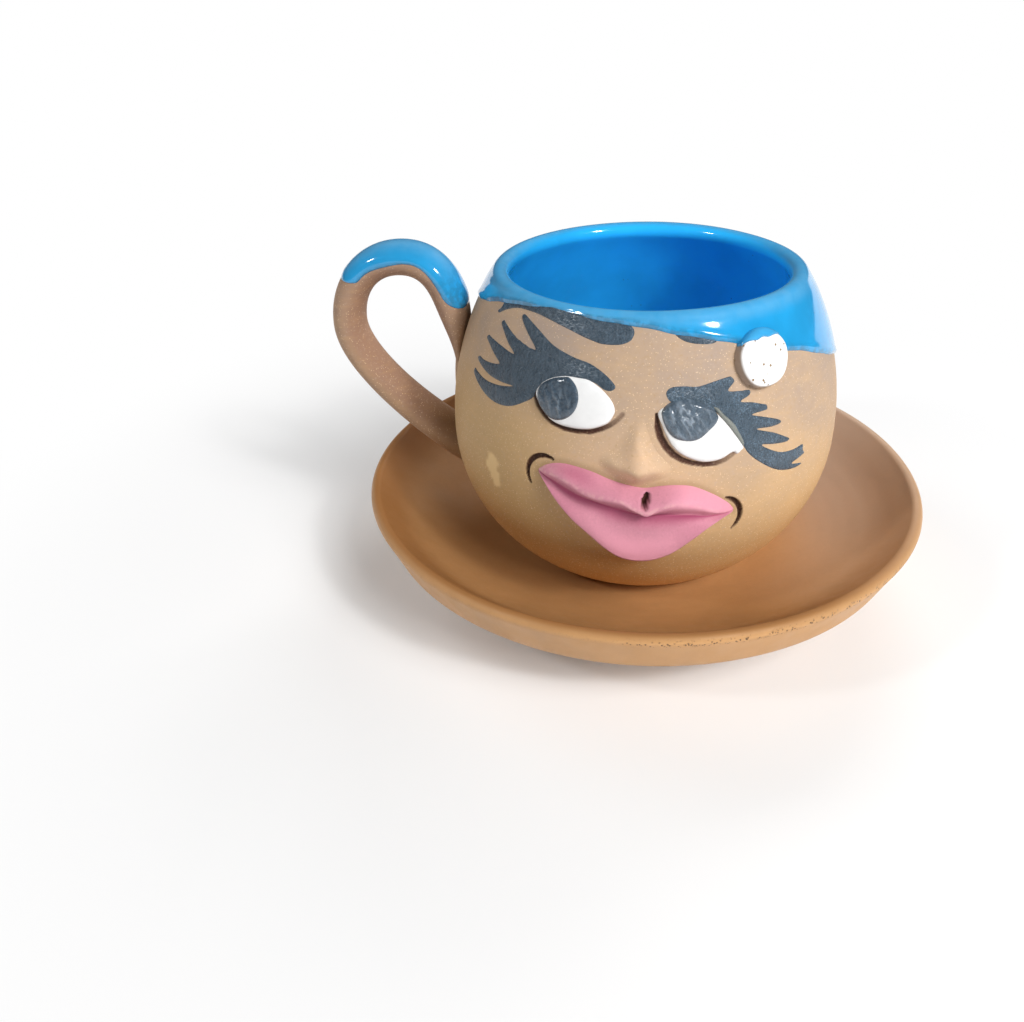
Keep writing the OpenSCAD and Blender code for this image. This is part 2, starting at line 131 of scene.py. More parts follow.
class Finishes(bpy.types.PropertyGroup):
    # The clay runs from the first colour near the rim to the second near the foot: partly its own tone,
    # partly painted orange bounce light from the saucer
    clay_high: colour("Clay near the rim", "Pale clay of the forehead", (0.41, 0.31, 0.245))
    clay_low: colour("Clay near the foot", "Warm clay of the chin", (0.74, 0.455, 0.195))
    groove: colour("Pressed lines", "Brown wash left in the pressed lines", (0.070, 0.025, 0.014))
    fired: colour("Fired clay", "Redder clay of the handle", (0.33, 0.19, 0.125))
    # Painted shade: darker, more orange clay on the cup's left side, away from the key light
    warm: colour("Flashed clay", "Ochre flush on the cheek beside the handle", (0.56, 0.36, 0.15))
    # Painted light: lighter clay in the middle of the face and on the nose
    pale: colour("Pale clay", "Lighter clay in the middle of the face", (0.70, 0.47, 0.30))
    dab: colour("Cheek dab", "Ochre dab on the cheek", (0.82, 0.58, 0.28))
    saucer: colour("Saucer", "Terracotta of the saucer", (0.48, 0.26, 0.108))
    # Painted sheen: paler, greyer clay inside the saucer at the right
    bloom: colour("Saucer bloom", "Greyer clay inside the saucer at the right", (0.62, 0.46, 0.36))
    # Browner clay inside the saucer at the left, and painted shade inside along the rim
    toasted: colour("Toasted saucer", "Browner clay inside the saucer at the left and along its rim",
                    (0.34, 0.155, 0.052))
    glaze_out: colour("Glaze outside", "Blue glaze where it is thin", (0.016, 0.33, 0.68))
    # Inside the cup this blue is made lighter on the right and near the lip at the back, and darker on the
    # left, as painted light and shade
    glaze_in: colour("Glaze inside", "Blue glaze where it lies thick", (0.021, 0.435, 0.88))
    # Also the painted reflection on the outer lip and along the handle's crown
    glaze_thin: colour("Thin glaze", "Milky glaze over the lip and the handle's crown", (0.13, 0.42, 0.70))
    # Also the darker glaze by the handle's upper root, partly painted shade
    glaze_edge: colour("Glaze edge", "Glaze over bare clay along its lower edge", (0.030, 0.145, 0.25))
    speck: colour("Glaze specks", "Dark specks in the glaze", (0.03, 0.10, 0.18))
    mica: colour("Mica", "Sparks of mica in the clay", (0.92, 0.72, 0.44))
    flakes: colour("Golden flakes", "Larger flakes of mica near the foot", (1.0, 0.80, 0.48))
    pink: colour("Lips", "Pink slip of the lips", (0.63, 0.26, 0.33))
    # Also the colour of the painted highlight on the lips' ridge and low edge
    rubbed: colour("Rubbed lips", "Pink slip where it is rubbed", (0.80, 0.50, 0.46))
    # Colour of the painted shade under the upper lip, along the seam and at the lips' sides
    seam: colour("Lip seam", "Deep pink between the lips", (0.40, 0.070, 0.150))
    white: colour("White", "White slip of the eyes and the button", (0.90, 0.90, 0.895))
    black: colour("Lashes", "Charcoal paint of the lashes and brows", (0.043, 0.064, 0.086))
    glints: colour("Wet paint", "Glints on thick charcoal paint", (0.34, 0.39, 0.44))
    faded: colour("Faded paint", "Dry streak on the right lid", (0.27, 0.28, 0.25))
    pupil: colour("Pupils", "Blue-black paint of the pupils", (0.040, 0.064, 0.092))
    folds: colour("Pupil folds", "Shine on the folds of the pupils", (0.30, 0.37, 0.44))


class StageSettings(bpy.types.PropertyGroup):
    key: strength("Key light", "Power of the large soft light at the right, in watts", 2.9)
    spark: strength("Spark light", "Power of the small light that shines in the glaze, in watts", 1.1)
    side: strength("Side light", "Power of the light at the left, in watts", 0.9)
    fill: strength("Fill light", "Power of the light at the front left, in watts", 0.55)
    back: strength("Back light", "Power of the light behind, in watts", 1.5)
    room: strength("Room light", "Strength of the even light from all round", 0.07)
    lens: FloatProperty(name="Lens", description="Focal length on a 36 mm wide sensor, in millimetres",
                        default=29.883, min=1.0)


class ClayCupSettings(bpy.types.PropertyGroup):
    cup: PointerProperty(type=CupSizes)
    glaze: PointerProperty(type=GlazeSizes)
    handle: PointerProperty(type=HandleSizes)
    saucer: PointerProperty(type=SaucerSizes)
    face: PointerProperty(type=FaceSizes)
    finish: PointerProperty(type=Finishes)
    stage: PointerProperty(type=StageSettings)


# Shapes shared by the pieces

def smooth(low, high, x):
    t = np.clip((x - low) / (high - low), 0.0, 1.0)
    return t * t * (3.0 - 2.0 * t)


def hump(x, middle, width):
    return np.exp(-((x - middle) / width) ** 2)


def rounded(inward, width):
    """Share of its full height that a coat with a rounded edge has at a distance inside that edge."""
    return np.sqrt(np.clip(inward / width, 0.0, 1.0))


def cloudy(points, size, seed, octaves=3):
    """Seeded noise from about -1 to 1 at points in millimetres, with lumps of the given size."""
    shift = Vector((seed * 17.3, seed * 5.1, seed * 9.7))
    return np.array([noise.fractal(Vector(p) / size + shift, 1.0, 2.0, octaves) for p in points])


class CupWall:
    """The cup's wall: one arc below the belly and one above it, both centred on the belly's level."""

    def __init__(self, settings):
        cup = settings.cup
        glaze = settings.glaze
        self.foot_z = cup.foot_height / MM
        self.wall = cup.wall / MM
        self.foot_r = cup.foot / MM / 2
        self.mouth_r = cup.mouth / MM / 2
        self.rim_top = self.foot_z + cup.height / MM
        self.belly_r = cup.belly / MM / 2
        self.belly_z = self.rim_top - cup.shoulder / MM
        self.lip_z = self.rim_top - self.wall / 2
        belly_h = self.belly_z - self.foot_z
        lip_rise = self.lip_z - self.belly_z
        mid_r = self.belly_r - self.wall / 2
        foot_in = self.belly_r - self.foot_r
        self.low_c = (self.belly_r ** 2 - self.foot_r ** 2 - belly_h ** 2) / (2 * foot_in)
        self.low_r = self.belly_r - self.low_c
        self.up_c = (mid_r ** 2 - self.mouth_r ** 2 - lip_rise ** 2) / (2 * (mid_r - self.mouth_r))
        self.up_r = self.belly_r - self.up_c
        self.lip_angle = math.asin(lip_rise / (mid_r - self.up_c))
        self.shoulder_z = self.belly_z + self.up_r * math.sin(self.lip_angle)
        self.floor_z = self.foot_z + cup.floor / MM
        self.fillet = cup.fillet / MM
        self.stray = cup.uneven / MM
        self.dip_z = self.rim_top - glaze.dip_drop / MM
        self.dip_slope = math.tan(glaze.dip_tilt)
        self.dip_turn = math.degrees(glaze.dip_turn)
        self.dip_wave = glaze.wave / MM

    def below(self, depth):
        return self.rim_top - depth

    def radius(self, z):
        z = np.clip(z, self.foot_z, self.shoulder_z)
        low = z < self.belly_z
        arc = np.where(low, self.low_r, self.up_r)
        return np.where(low, self.low_c, self.up_c) + np.sqrt(arc ** 2 - (z - self.belly_z) ** 2)

    def lean(self, z):
        z = np.clip(z, self.foot_z, self.shoulder_z)
        return np.arcsin((z - self.belly_z) / np.where(z < self.belly_z, self.low_r, self.up_r))

    def uneven(self, turn, z):
        a = np.radians(turn)
        swell = np.sin(2 * a + 0.7) * 0.5 + np.sin(3 * a - z * 0.06 + 1.9) * 0.3
        swell = swell + np.sin(5 * a + z * 0.11) * 0.2
        return self.stray * (swell - 0.4)

    def point(self, turn, z, out):
        turn, z, out = np.broadcast_arrays(*(np.asarray(part, float) for part in (turn, z, out)))
        lean = self.lean(z)
        away = out + self.uneven(turn, z)
        r = self.radius(z) + away * np.cos(lean)
        a = np.radians(turn)
        return np.stack([r * np.sin(a), -r * np.cos(a), z + away * np.sin(lean)], axis=-1)

    def hollow(self):
        """Section of the inside from the lip to the middle of the floor, as radius, height and normal."""
        inner_up = self.up_r - self.wall
        inner_low = self.low_r - self.wall
        fillet_z = self.floor_z + self.fillet
        run = inner_low - self.fillet
        fillet_r = self.low_c + math.sqrt(run ** 2 - (self.belly_z - fillet_z) ** 2)
        start = math.asin((fillet_z - self.belly_z) / run)

        def arc(r, z, radius, angles):
            ways = [(math.cos(a), math.sin(a)) for a in angles]
            return [(r + radius * cos, z + radius * sin, -cos, -sin) for cos, sin in ways]

        rows = arc(self.up_c, self.belly_z, inner_up, np.linspace(self.lip_angle, 0.0, 26))
        rows += arc(self.low_c, self.belly_z, inner_low, np.linspace(0.0, start, 12)[1:])
        rows += arc(fillet_r, fillet_z, self.fillet, np.linspace(start, -math.pi / 2, 12)[1:])
        rows += [(r, self.floor_z, 0.0, 1.0) for r in np.linspace(fillet_r, 0.0, 8)[1:]]
        return np.array(rows)

    def lip(self, steps=16):
        """Section of the rounded lip from outside to inside, as radius, height and normal."""
        a = np.linspace(self.lip_angle, self.lip_angle + math.pi, steps)
        half = self.wall / 2
        cos, sin = np.cos(a), np.sin(a)
        return np.stack([self.mouth_r + half * cos, self.lip_z + half * sin, cos, sin], axis=-1)

    def dip_line(self, turn):
        """Height on the wall at which the glaze ends."""
        turn = np.asarray(turn, float)
        z = np.full(turn.shape, self.belly_z)
        for _ in range(12):
            r = self.radius(np.minimum(z, self.lip_z))
            z = self.dip_z + self.dip_slope * r * np.cos(np.radians(turn + self.dip_turn))
        a = np.radians(turn)
        wander = np.sin(7 * a + 0.6) * 0.45 + np.sin(13 * a + 2.1) * 0.35 + np.sin(29 * a) * 0.2
        return z + self.dip_wave * wander + 0.55 * hump(turn, -28.0, 20.0)


class Board:
    """A flat drawing board held against the wall at a turn and a height."""
    # How far behind and before the board the wall is looked for, and how far behind it still faces the board
    behind, before, facing = -18.0, 4.0, -14.0

    def __init__(self, wall, turn, z):
        a = math.radians(turn)
        lean = float(wall.lean(z))
        self.wall = wall
        self.origin = np.array([wall.radius(z) * math.sin(a), -wall.radius(z) * math.cos(a), z], float)
        self.across = np.array([math.cos(a), math.sin(a), 0.0])
        self.out = np.array([math.sin(a) * math.cos(lean), -math.cos(a) * math.cos(lean), math.sin(lean)])
        self.up = np.cross(self.out, self.across)

    def lay(self, drawn, out):
        """Points above the wall under places on the board."""
        flat = self.origin + np.outer(drawn[:, 0], self.across) + np.outer(drawn[:, 1], self.up)
        low = np.full(len(drawn), self.behind)
        high = np.full(len(drawn), self.before)
        for _ in range(40):
            mid = (low + high) / 2
            p = flat + mid[..., None] * self.out
            outside = np.hypot(p[..., 0], p[..., 1]) > self.wall.radius(p[..., 2])
            high = np.where(outside, mid, high)
            low = np.where(outside, low, mid)
        return self.wall.point(np.degrees(np.arctan2(p[..., 0], -p[..., 1])), p[..., 2], out)

    def places(self, points):
        """Places on the board, and whether they face it, of points on the wall."""
        rel = points - self.origin
        return rel @ self.across, rel @ self.up, rel @ self.out > self.facing


def closed_curve(points, steps=4):
    """Smooth closed outline through points."""
    p = np.array(points, float)
    before = np.roll(p, 1, axis=0)
    after = np.roll(p, -1, axis=0)
    later = np.roll(p, -2, axis=0)
    t = np.arange(steps)[:, None, None] / steps
    curve = 0.5 * (2 * p + (after - before) * t + (2 * before - 5 * p + 4 * after - later) * t ** 2
                   + (3 * p - before - 3 * after + later) * t ** 3)
    return curve.transpose(1, 0, 2).reshape(-1, 2)


def through(points, x):
    """Height of a smooth curve through points, at places along it."""
    p = np.array(points, float)
    slope = np.gradient(p[:, 1], p[:, 0])
    x = np.clip(x, p[0, 0], p[-1, 0])
    i = np.clip(np.searchsorted(p[:, 0], x) - 1, 0, len(p) - 2)
    wide = p[i + 1, 0] - p[i, 0]
    t = (x - p[i, 0]) / wide
    return ((1 + 2 * t) * (1 - t) ** 2 * p[i, 1] + t * (1 - t) ** 2 * wide * slope[i]
            + t * t * (3 - 2 * t) * p[i + 1, 1] + t * t * (t - 1) * wide * slope[i + 1])


def disc_inside(outline, centre, radius, margin=0.12, steps=90):
    """Round outline that stops short of another outline where it would leave it."""
    a = np.linspace(0.0, 2 * math.pi, steps, endpoint=False)
    way = np.stack([np.cos(a), np.sin(a)], axis=-1)
    reach = np.linspace(0.3, radius, 60)
    tries = np.array(centre) + way[:, None, :] * reach[None, :, None]
    held = edge_distance(tries.reshape(-1, 2), outline).reshape(steps, 60) > margin
    last = np.where(held.all(axis=1), 59, np.argmin(held, axis=1) - 1)
    return np.array(centre) + way * reach[np.maximum(last, 0)][:, None]


def line_distance(u, v, line):
    """Distance to a drawn line, and how far along it the nearest place lies, from 0 to 1."""
    p = np.array(line, float)
    sides = p[1:] - p[:-1]
    starts = np.concatenate([[0.0], np.cumsum(np.hypot(*sides.T))])
    best = np.full(np.shape(u), 1e9)
    along = np.zeros(np.shape(u))
    for a, d, start in zip(p, sides, starts):
        t = np.clip(((u - a[0]) * d[0] + (v - a[1]) * d[1]) / (d @ d), 0.0, 1.0)
        off = np.hypot(u - a[0] - t * d[0], v - a[1] - t * d[1])
        along = np.where(off < best, (start + t * math.hypot(*d)) / starts[-1], along)
        best = np.minimum(best, off)
    return best, along


def arc_distance(u, v, middle, radius, start, end):
    """Distance to part of a ring, and how far along it the nearest place lies, from 0 to 1."""
    x = u - middle[0]
    y = v - middle[1]
    span = math.radians(end - start)
    along = np.mod(np.arctan2(y, x) - math.radians(start) + math.pi - span / 2, 2 * math.pi)
    along = np.clip(along - math.pi + span / 2, 0.0, span)
    a = along + math.radians(start)
    return np.hypot(x - radius * np.cos(a), y - radius * np.sin(a)), along / span


def edge_distance(points, outline):
    """Distance from each point to the outline, below zero outside it."""
    a = outline
    b = np.roll(outline, -1, axis=0)
    side = b - a
    best = np.full(len(points), 1e9)
    inside = np.zeros(len(points), bool)
    for p, q, d in zip(a, b, side):
        rel = points - p
        t = np.clip(rel @ d / max(d @ d, 1e-12), 0.0, 1.0)
        best = np.minimum(best, np.hypot(*(rel - t[:, None] * d).T))
        crosses = (p[1] > points[:, 1]) != (q[1] > points[:, 1])
        if d[1]:
            inside ^= crosses & (points[:, 0] < p[0] + (points[:, 1] - p[1]) * d[0] / d[1])
    return np.where(inside, best, -best)


def fill_outline(outline, spacing, clear=0.45, rings=(0.1, 0.26)):
    """Places and triangles that fill an outline, closest along its edge, and how far inside it each lies."""
    low = outline.min(axis=0)
    high = outline.max(axis=0)
    rows = np.arange(low[1], high[1], spacing * 0.87)
    columns = np.arange(low[0], high[0] + spacing, spacing)
    grid = np.array([(x + (i % 2) * spacing / 2, y) for i, y in enumerate(rows) for x in columns])
    grid = grid[edge_distance(grid, outline) > clear]
    before = np.roll(outline, 1, axis=0)
    after = np.roll(outline, -1, axis=0)
    way = after - before
    normal = np.stack([-way[:, 1], way[:, 0]], axis=-1) / np.maximum(np.hypot(*way.T), 1e-9)[:, None]
    if edge_distance(outline + normal * 0.02, outline).mean() < 0:
        normal = -normal
    for step in rings:
        ring = outline + normal * step
        grid = np.concatenate([grid, ring[edge_distance(ring, outline) > step * 0.8]])
    count = len(outline)
    places = [Vector(p) for p in np.concatenate([outline, grid])]
    ring = [list(range(count))]
    found, _, triangles, *_ = delaunay_2d_cdt(places, [], ring, 1, 1e-4)
    found = np.array([tuple(p) for p in found])
    return found, [tuple(t) for t in triangles], np.maximum(edge_distance(found, outline), 0.0)


def closed_patch(top, under, triangles):
    """Points and faces of a thin solid between a top and an under sheet with the same triangles."""
    count = len(top)
    edges = dict.fromkeys((t[k], t[(k + 1) % 3]) for t in triangles for k in range(3))
    rim = [(a, b) for a, b in edges if (b, a) not in edges]
    faces = list(triangles) + [tuple(i + count for i in reversed(t)) for t in triangles]
    faces += [(b, a, a + count, b + count) for a, b in rim]
    return np.concatenate([top, under]), faces


def sheet_faces(rows, columns, start=0, ring=False):
    wide = columns if ring else columns - 1
    i, k = np.meshgrid(np.arange(rows - 1), np.arange(wide), indexing="ij")
    a = start + i * columns + k
    b = start + i * columns + (k + 1) % columns
    return np.stack([a, b, b + columns, a + columns], axis=-1).reshape(-1, 4)


def closed_sheet(top, under):
    """Points and faces of a solid between two grids of points, closed along all four edges."""
    rows, columns = top.shape[:2]
    count = rows * columns
    faces = [sheet_faces(rows, columns), sheet_faces(rows, columns, count)[:, ::-1]]
    index = np.arange(count).reshape(rows, columns)
    for line in (index[0, ::-1], index[:, 0], index[-1], index[::-1, -1]):
        faces.append(np.stack([line[1:], line[:-1], line[:-1] + count, line[1:] + count], axis=-1))
    return np.concatenate([top.reshape(-1, 3), under.reshape(-1, 3)]), np.concatenate(faces).tolist()


def turned_solid(rows, turns):
    """Points and faces of a solid of revolution from rows of points; a row of one point closes an end."""
    starts = np.cumsum([0] + [len(row) for row in rows]).tolist()
    faces = []
    for i in range(len(rows) - 1):
        a, b = starts[i], starts[i + 1]
        for k in range(turns):
            m = (k + 1) % turns
            if len(rows[i]) == 1:
                faces.append((a, b + m, b + k))
            elif len(rows[i + 1]) == 1:
                faces.append((a + k, a + m, b))
            else:
                faces.append((a + k, a + m, b + m, b + k))
    return np.concatenate(rows), faces


def moved(row, out):
    """A row of a section moved out along its normal; on the axis it only rises."""
    r, z, nr, nz = row
    return (r + nr * out, z + nz * out, nr, nz) if r > ON_AXIS else (0.0, z + out, nr, nz)


def round_axis(section, turns, uneven=None):
    """Rows of points of a section of radius, height and normal, turned about the cup's axis."""
    a = np.radians(turns)
    rows = []
    for r, z, nr, nz in section:
        if r < ON_AXIS:
            rows.append(np.array([[0.0, 0.0, z]]))
            continue
        away = uneven(turns, z) if uneven else np.zeros(len(turns))
        rr = r + away * nr
        rows.append(np.stack([rr * np.sin(a), -rr * np.cos(a), z + away * nz], axis=-1))
    return rows


def both_sides(**marks):
    """Marks of a sheet's top, given to its under side too."""
    return {name: np.tile(np.ravel(values), 2) for name, values in marks.items()}


def mesh_object(name, points, faces, finish, nodes=(), body="cup", marks=None):
    """Makes a piece, gives it its finish, lets it ride on its body and stand for its nodes."""
    mesh = bpy.data.meshes.new(name)
    mesh.from_pydata((np.asarray(points, float) * MM).tolist(), [], [tuple(f) for f in faces])
    if mesh.validate():
        raise RuntimeError(name + " has bad faces")
    for mark, values in (marks or {}).items():
        layer = mesh.attributes.new(mark, "FLOAT", "POINT")
        layer.data.foreach_set("value", np.asarray(values, np.float32))
    shell = bmesh.new()
    shell.from_mesh(mesh)
    bmesh.ops.recalc_face_normals(shell, faces=shell.faces)
    shell.to_mesh(mesh)
    shell.free()
    mesh.shade_smooth()
    piece = bpy.data.objects.new(name, mesh)
    bpy.context.scene.collection.objects.link(piece)
    material, slot = finish_of(finish)
    mesh.materials.append(material)
    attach(piece, body)
    if nodes:
        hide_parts(*nodes)


# Finishes

class Finish:
    """A material under construction, with short ways to add and link its nodes."""

    def __init__(self, name):
        self.material = bpy.data.materials.new(name)
        self.material.use_nodes = True
        self.tree = self.material.node_tree
        self.shader = self.tree.nodes["Principled BSDF"]
        self.places = self.tree.nodes.new("ShaderNodeTexCoord").outputs["Object"]

    def put(self, socket, value):
        if isinstance(value, bpy.types.NodeSocket):
            self.tree.links.new(value, socket)
        elif hasattr(value, "__len__") and len(value) == 3 and socket.type == "RGBA":
            socket.default_value = (*value, 1.0)
        else:
            socket.default_value = value

    def set(self, **values):
        for name, value in values.items():
            self.put(self.shader.inputs[name.replace("_", " ").title()], value)

    def base(self, value):
        self.put(self.shader.inputs["Base Color"], value)

    def add(self, kind, **values):
        made = self.tree.nodes.new("ShaderNode" + kind)
        for name, value in values.items():
            setattr(made, name, value)
        return made

    def noise(self, size, detail=3.0, rough=0.55, stretch=(1, 1, 1)):
        made = self.add("TexNoise")
        where = self.places
        if stretch != (1, 1, 1):
            turn = self.add("Mapping")
            self.put(turn.inputs["Vector"], self.places)
            turn.inputs["Scale"].default_value = stretch
            where = turn.outputs[0]
        self.put(made.inputs["Vector"], where)
        made.inputs["Scale"].default_value = 1.0 / (size * MM)
        made.inputs["Detail"].default_value = detail
        made.inputs["Roughness"].default_value = rough
        return made.outputs["Fac"]

    def cells(self, size, output="Distance"):
        made = self.add("TexVoronoi")
        self.put(made.inputs["Vector"], self.places)
        made.inputs["Scale"].default_value = 1.0 / (size * MM)
        return made.outputs[output]

    def span(self, value, low, high, to_low=0.0, to_high=1.0):
        made = self.add("MapRange", interpolation_type="SMOOTHSTEP")
        for name, part in (("Value", value), ("From Min", low), ("From Max", high), ("To Min", to_low),
                           ("To Max", to_high)):
            self.put(made.inputs[name], part)
        return made.outputs["Result"]

    def sum(self, kind, a, b):
        made = self.add("Math", operation=kind)
        self.put(made.inputs[0], a)
        self.put(made.inputs[1], b)
        return made.outputs[0]

    def times(self, a, b):
        return self.sum("MULTIPLY", a, b)

    def mix(self, share, a, b, kind="MIX"):
        made = self.add("Mix", data_type="RGBA", blend_type=kind)
        self.put(made.inputs["Factor"], share)
        self.put(made.inputs[6], a)
        self.put(made.inputs[7], b)
        return made.outputs[2]

    def tinted(self, share, colour, low, high):
        """A colour that runs from one strength of it to another."""
        return self.mix(share, shade(colour, low), shade(colour, high))

    def dots(self, size, near, chosen):
        """Scattered dots: the middles of cells of a size, and only of the cells that chance picks."""
        return self.times(self.span(self.cells(size), *near), self.span(self.cells(size, "Color"), *chosen))

    def mark(self, name):
        return self.add("Attribute", attribute_name=name).outputs["Fac"]

    def height(self):
        split = self.add("SeparateXYZ")
        self.put(split.inputs[0], self.places)
        return split.outputs["Z"]

    def bump(self, height, depth, strength=1.0, after=None):
        made = self.add("Bump")
        self.put(made.inputs["Height"], height)
        made.inputs["Distance"].default_value = depth * MM
        made.inputs["Strength"].default_value = strength
        if after:
            self.put(made.inputs["Normal"], after)
        return made.outputs["Normal"]


def shade(colour, factor):
    return tuple(min(1.0, c * factor) for c in colour)


def dry_clay(finish):
    """Dry, fine clay: paler near the rim and warmer near the foot, partly as painted bounce light from the
    saucer, with sparks of mica, and with painted light and shade on the face and the handle.
    """
    f = Finish("dry_clay")
    # Paler near the rim, warmer near the foot: partly the clay's own tone, partly painted orange bounce light
    # from the saucer
    tone = f.mix(f.span(f.height(), 0.008, 0.050), finish.clay_low, finish.clay_high)
    patches = f.span(f.noise(16.0, 4.0), 0.32, 0.68)
    tone = f.mix(f.times(patches, 0.35), tone, shade(finish.clay_low, 1.12))
    tone = f.mix(f.mark("fired"), tone, finish.fired)
    # Painted shade on the cup's left side
    tone = f.mix(f.mark("warm"), tone, finish.warm)
    # Painted light in the middle of the face and on the nose
    tone = f.mix(f.mark("pale"), tone, finish.pale)
    brushed = f.noise(1.6, 3.0, 0.6, (0.3, 0.3, 1.6))
    tone = f.mix(f.span(brushed, 0.46, 0.72, 0.0, 0.10), tone, shade(finish.clay_low, 1.15))
    grain = f.noise(0.55, 3.0, 0.7)
    tone = f.mix(f.span(grain, 0.52, 0.80, 0.0, 0.45), tone, shade(finish.clay_low, 0.62))
    tone = f.mix(f.span(grain, 0.46, 0.25, 0.0, 0.40), tone, shade(finish.clay_high, 1.28))
    sparks = f.dots(0.36, (0.26, 0.14), (0.46, 0.54))
    low = f.span(f.height(), 0.016, 0.038, 1.0, 0.62)
    tone = f.mix(f.times(sparks, low), tone, finish.mica)
    flakes = f.times(f.dots(0.6, (0.26, 0.14), (0.48, 0.54)), f.span(f.height(), 0.012, 0.026, 0.85, 0.0))
    tone = f.mix(flakes, tone, finish.flakes)
    tone = f.mix(f.mark("dab"), tone, finish.dab)
    # Painted shade round the lips, under the nose and at the handle's roots
    tone = f.mix(f.times(f.mark("dirt"), 0.5), tone, shade(finish.clay_low, 0.40))
    ragged = f.times(f.mark("groove"), f.span(f.noise(0.4, 4.0, 0.7), 0.30, 0.52, 0.80, 1.0))
    f.base(f.mix(ragged, tone, finish.groove))
    f.set(roughness=f.span(sparks, 0.0, 1.0, 0.66, 0.28))
    soft = f.bump(f.noise(2.6, 3.0), 0.10, 0.5)
    f.set(normal=f.bump(grain, 0.05, 0.6, soft))
    return f.material


def burnished_terracotta(finish):
    """Burnished terracotta with faint throwing rings and small dark pits along its edge."""
    f = Finish("burnished_terracotta")
    tone = f.tinted(f.span(f.noise(22.0, 4.0), 0.30, 0.70), finish.saucer, 0.90, 1.14)
    grain = f.noise(0.6, 3.0, 0.7)
    tone = f.mix(f.span(grain, 0.52, 0.80, 0.0, 0.30), tone, shade(finish.saucer, 0.70))
    tone = f.mix(f.span(grain, 0.45, 0.25, 0.0, 0.25), tone, shade(finish.saucer, 1.40))
    # Painted sheen inside at the right; browner clay at the left and painted shade inside along the rim
    tone = f.mix(f.mark("bloom"), tone, finish.bloom)
    tone = f.mix(f.mark("toasted"), tone, finish.toasted)
    # Paler outer wall and rim: wear, and painted light
    tone = f.mix(f.times(f.mark("worn"), f.span(f.noise(7.0, 4.0), 0.25, 0.75, 0.35, 0.75)), tone,
                 shade(finish.saucer, 1.35))
    pits = f.times(f.dots(0.38, (0.46, 0.28), (0.49, 0.53)), f.mark("pitted"))
    f.base(f.mix(pits, tone, shade(finish.saucer, 0.34)))
    f.set(roughness=f.span(f.noise(5.0, 3.0), 0.3, 0.7, 0.42, 0.56))
    deep = f.bump(f.sum("SUBTRACT", 1.0, pits), 0.25, 0.8)
    f.set(normal=f.bump(grain, 0.03, 0.5, deep))
    return f.material


def dip_glaze(finish):
    """Glossy dip glaze: milky where it thins over the lip, with painted reflection there and on the handle's
    crown, deep inside with painted light and shade, clear at its lower edge.
    """
    f = Finish("dip_glaze")
    cloud = f.span(f.noise(9.0, 4.0), 0.30, 0.70)
    outside = f.tinted(cloud, finish.glaze_out, 0.90, 1.10)
    pooled = f.tinted(cloud, finish.glaze_in, 0.94, 1.06)
    # Painted light and shade inside the cup: lighter and darker copies of the pooled blue
    light, dark = (f.mix(1.0, pooled, (factor,) * 3, "MULTIPLY") for factor in (1.3, 0.66))
    inside = f.mix(f.mark("deep"), light, dark)
    tone = f.mix(f.mark("inside"), outside, inside)
    # Milky thin glaze, with painted reflection on the outer lip and the handle's crown
    thin = f.times(f.mark("thin"), f.span(f.noise(2.4, 4.0), 0.25, 0.7, 0.55, 1.0))
    tone = f.mix(thin, tone, finish.glaze_thin)
    edge = f.times(f.mark("edge"), f.span(f.noise(1.1, 3.0, 0.6), 0.34, 0.62, 0.1, 0.7))
    tone = f.mix(edge, tone, finish.glaze_edge)
    specks = f.dots(2.2, (0.09, 0.05), (0.64, 0.68))
    f.base(f.mix(f.times(specks, 0.5), tone, finish.speck))
    f.set(roughness=f.span(f.noise(3.0, 3.0), 0.3, 0.7, 0.08, 0.14))
    f.set(coat_weight=0.4, coat_roughness=0.03)
    f.set(normal=f.bump(f.noise(4.0, 2.0), 0.05, 0.35))
    return f.material


def pink_slip(finish):
    """Powdery pink slip, paler along the edges from rubbing and painted highlight, with painted light and
    painted shade.
    """
    f = Finish("pink_slip")
    grain = f.noise(0.4, 3.0, 0.7)
    tone = f.tinted(f.span(f.noise(5.0, 4.0), 0.3, 0.7), finish.pink, 0.94, 1.06)
    tone = f.mix(f.span(grain, 0.5, 0.8, 0.0, 0.45), tone, shade(finish.pink, 0.72))
    tone = f.mix(f.span(grain, 0.45, 0.25, 0.0, 0.35), tone, shade(finish.pink, 1.3))
    # Paler pink along the ridge, the low edge and the upper lip's left end: rubbed slip, and painted
    # highlight on the ridge and the low edge
    rubbed = f.times(f.mark("worn"), f.span(f.noise(0.9, 4.0), 0.38, 0.62))
    tone = f.mix(f.times(rubbed, 0.6), tone, finish.rubbed)
    # Painted shade: deep pink under the upper lip, along the seam and at the lips' sides
    tone = f.mix(f.mark("deep"), tone, finish.seam)
    # Painted light: paler pink on the right of the upper lip and in the middle of the lower lip
    tone = f.mix(f.mark("pale"), tone, shade(finish.pink, 1.35))
    f.base(f.mix(f.mark("slit"), tone, finish.groove))
    f.set(roughness=f.span(grain, 0.3, 0.7, 0.50, 0.66))
    f.set(normal=f.bump(grain, 0.04, 0.5, f.bump(f.noise(1.8, 3.0), 0.06, 0.5)))
    return f.material


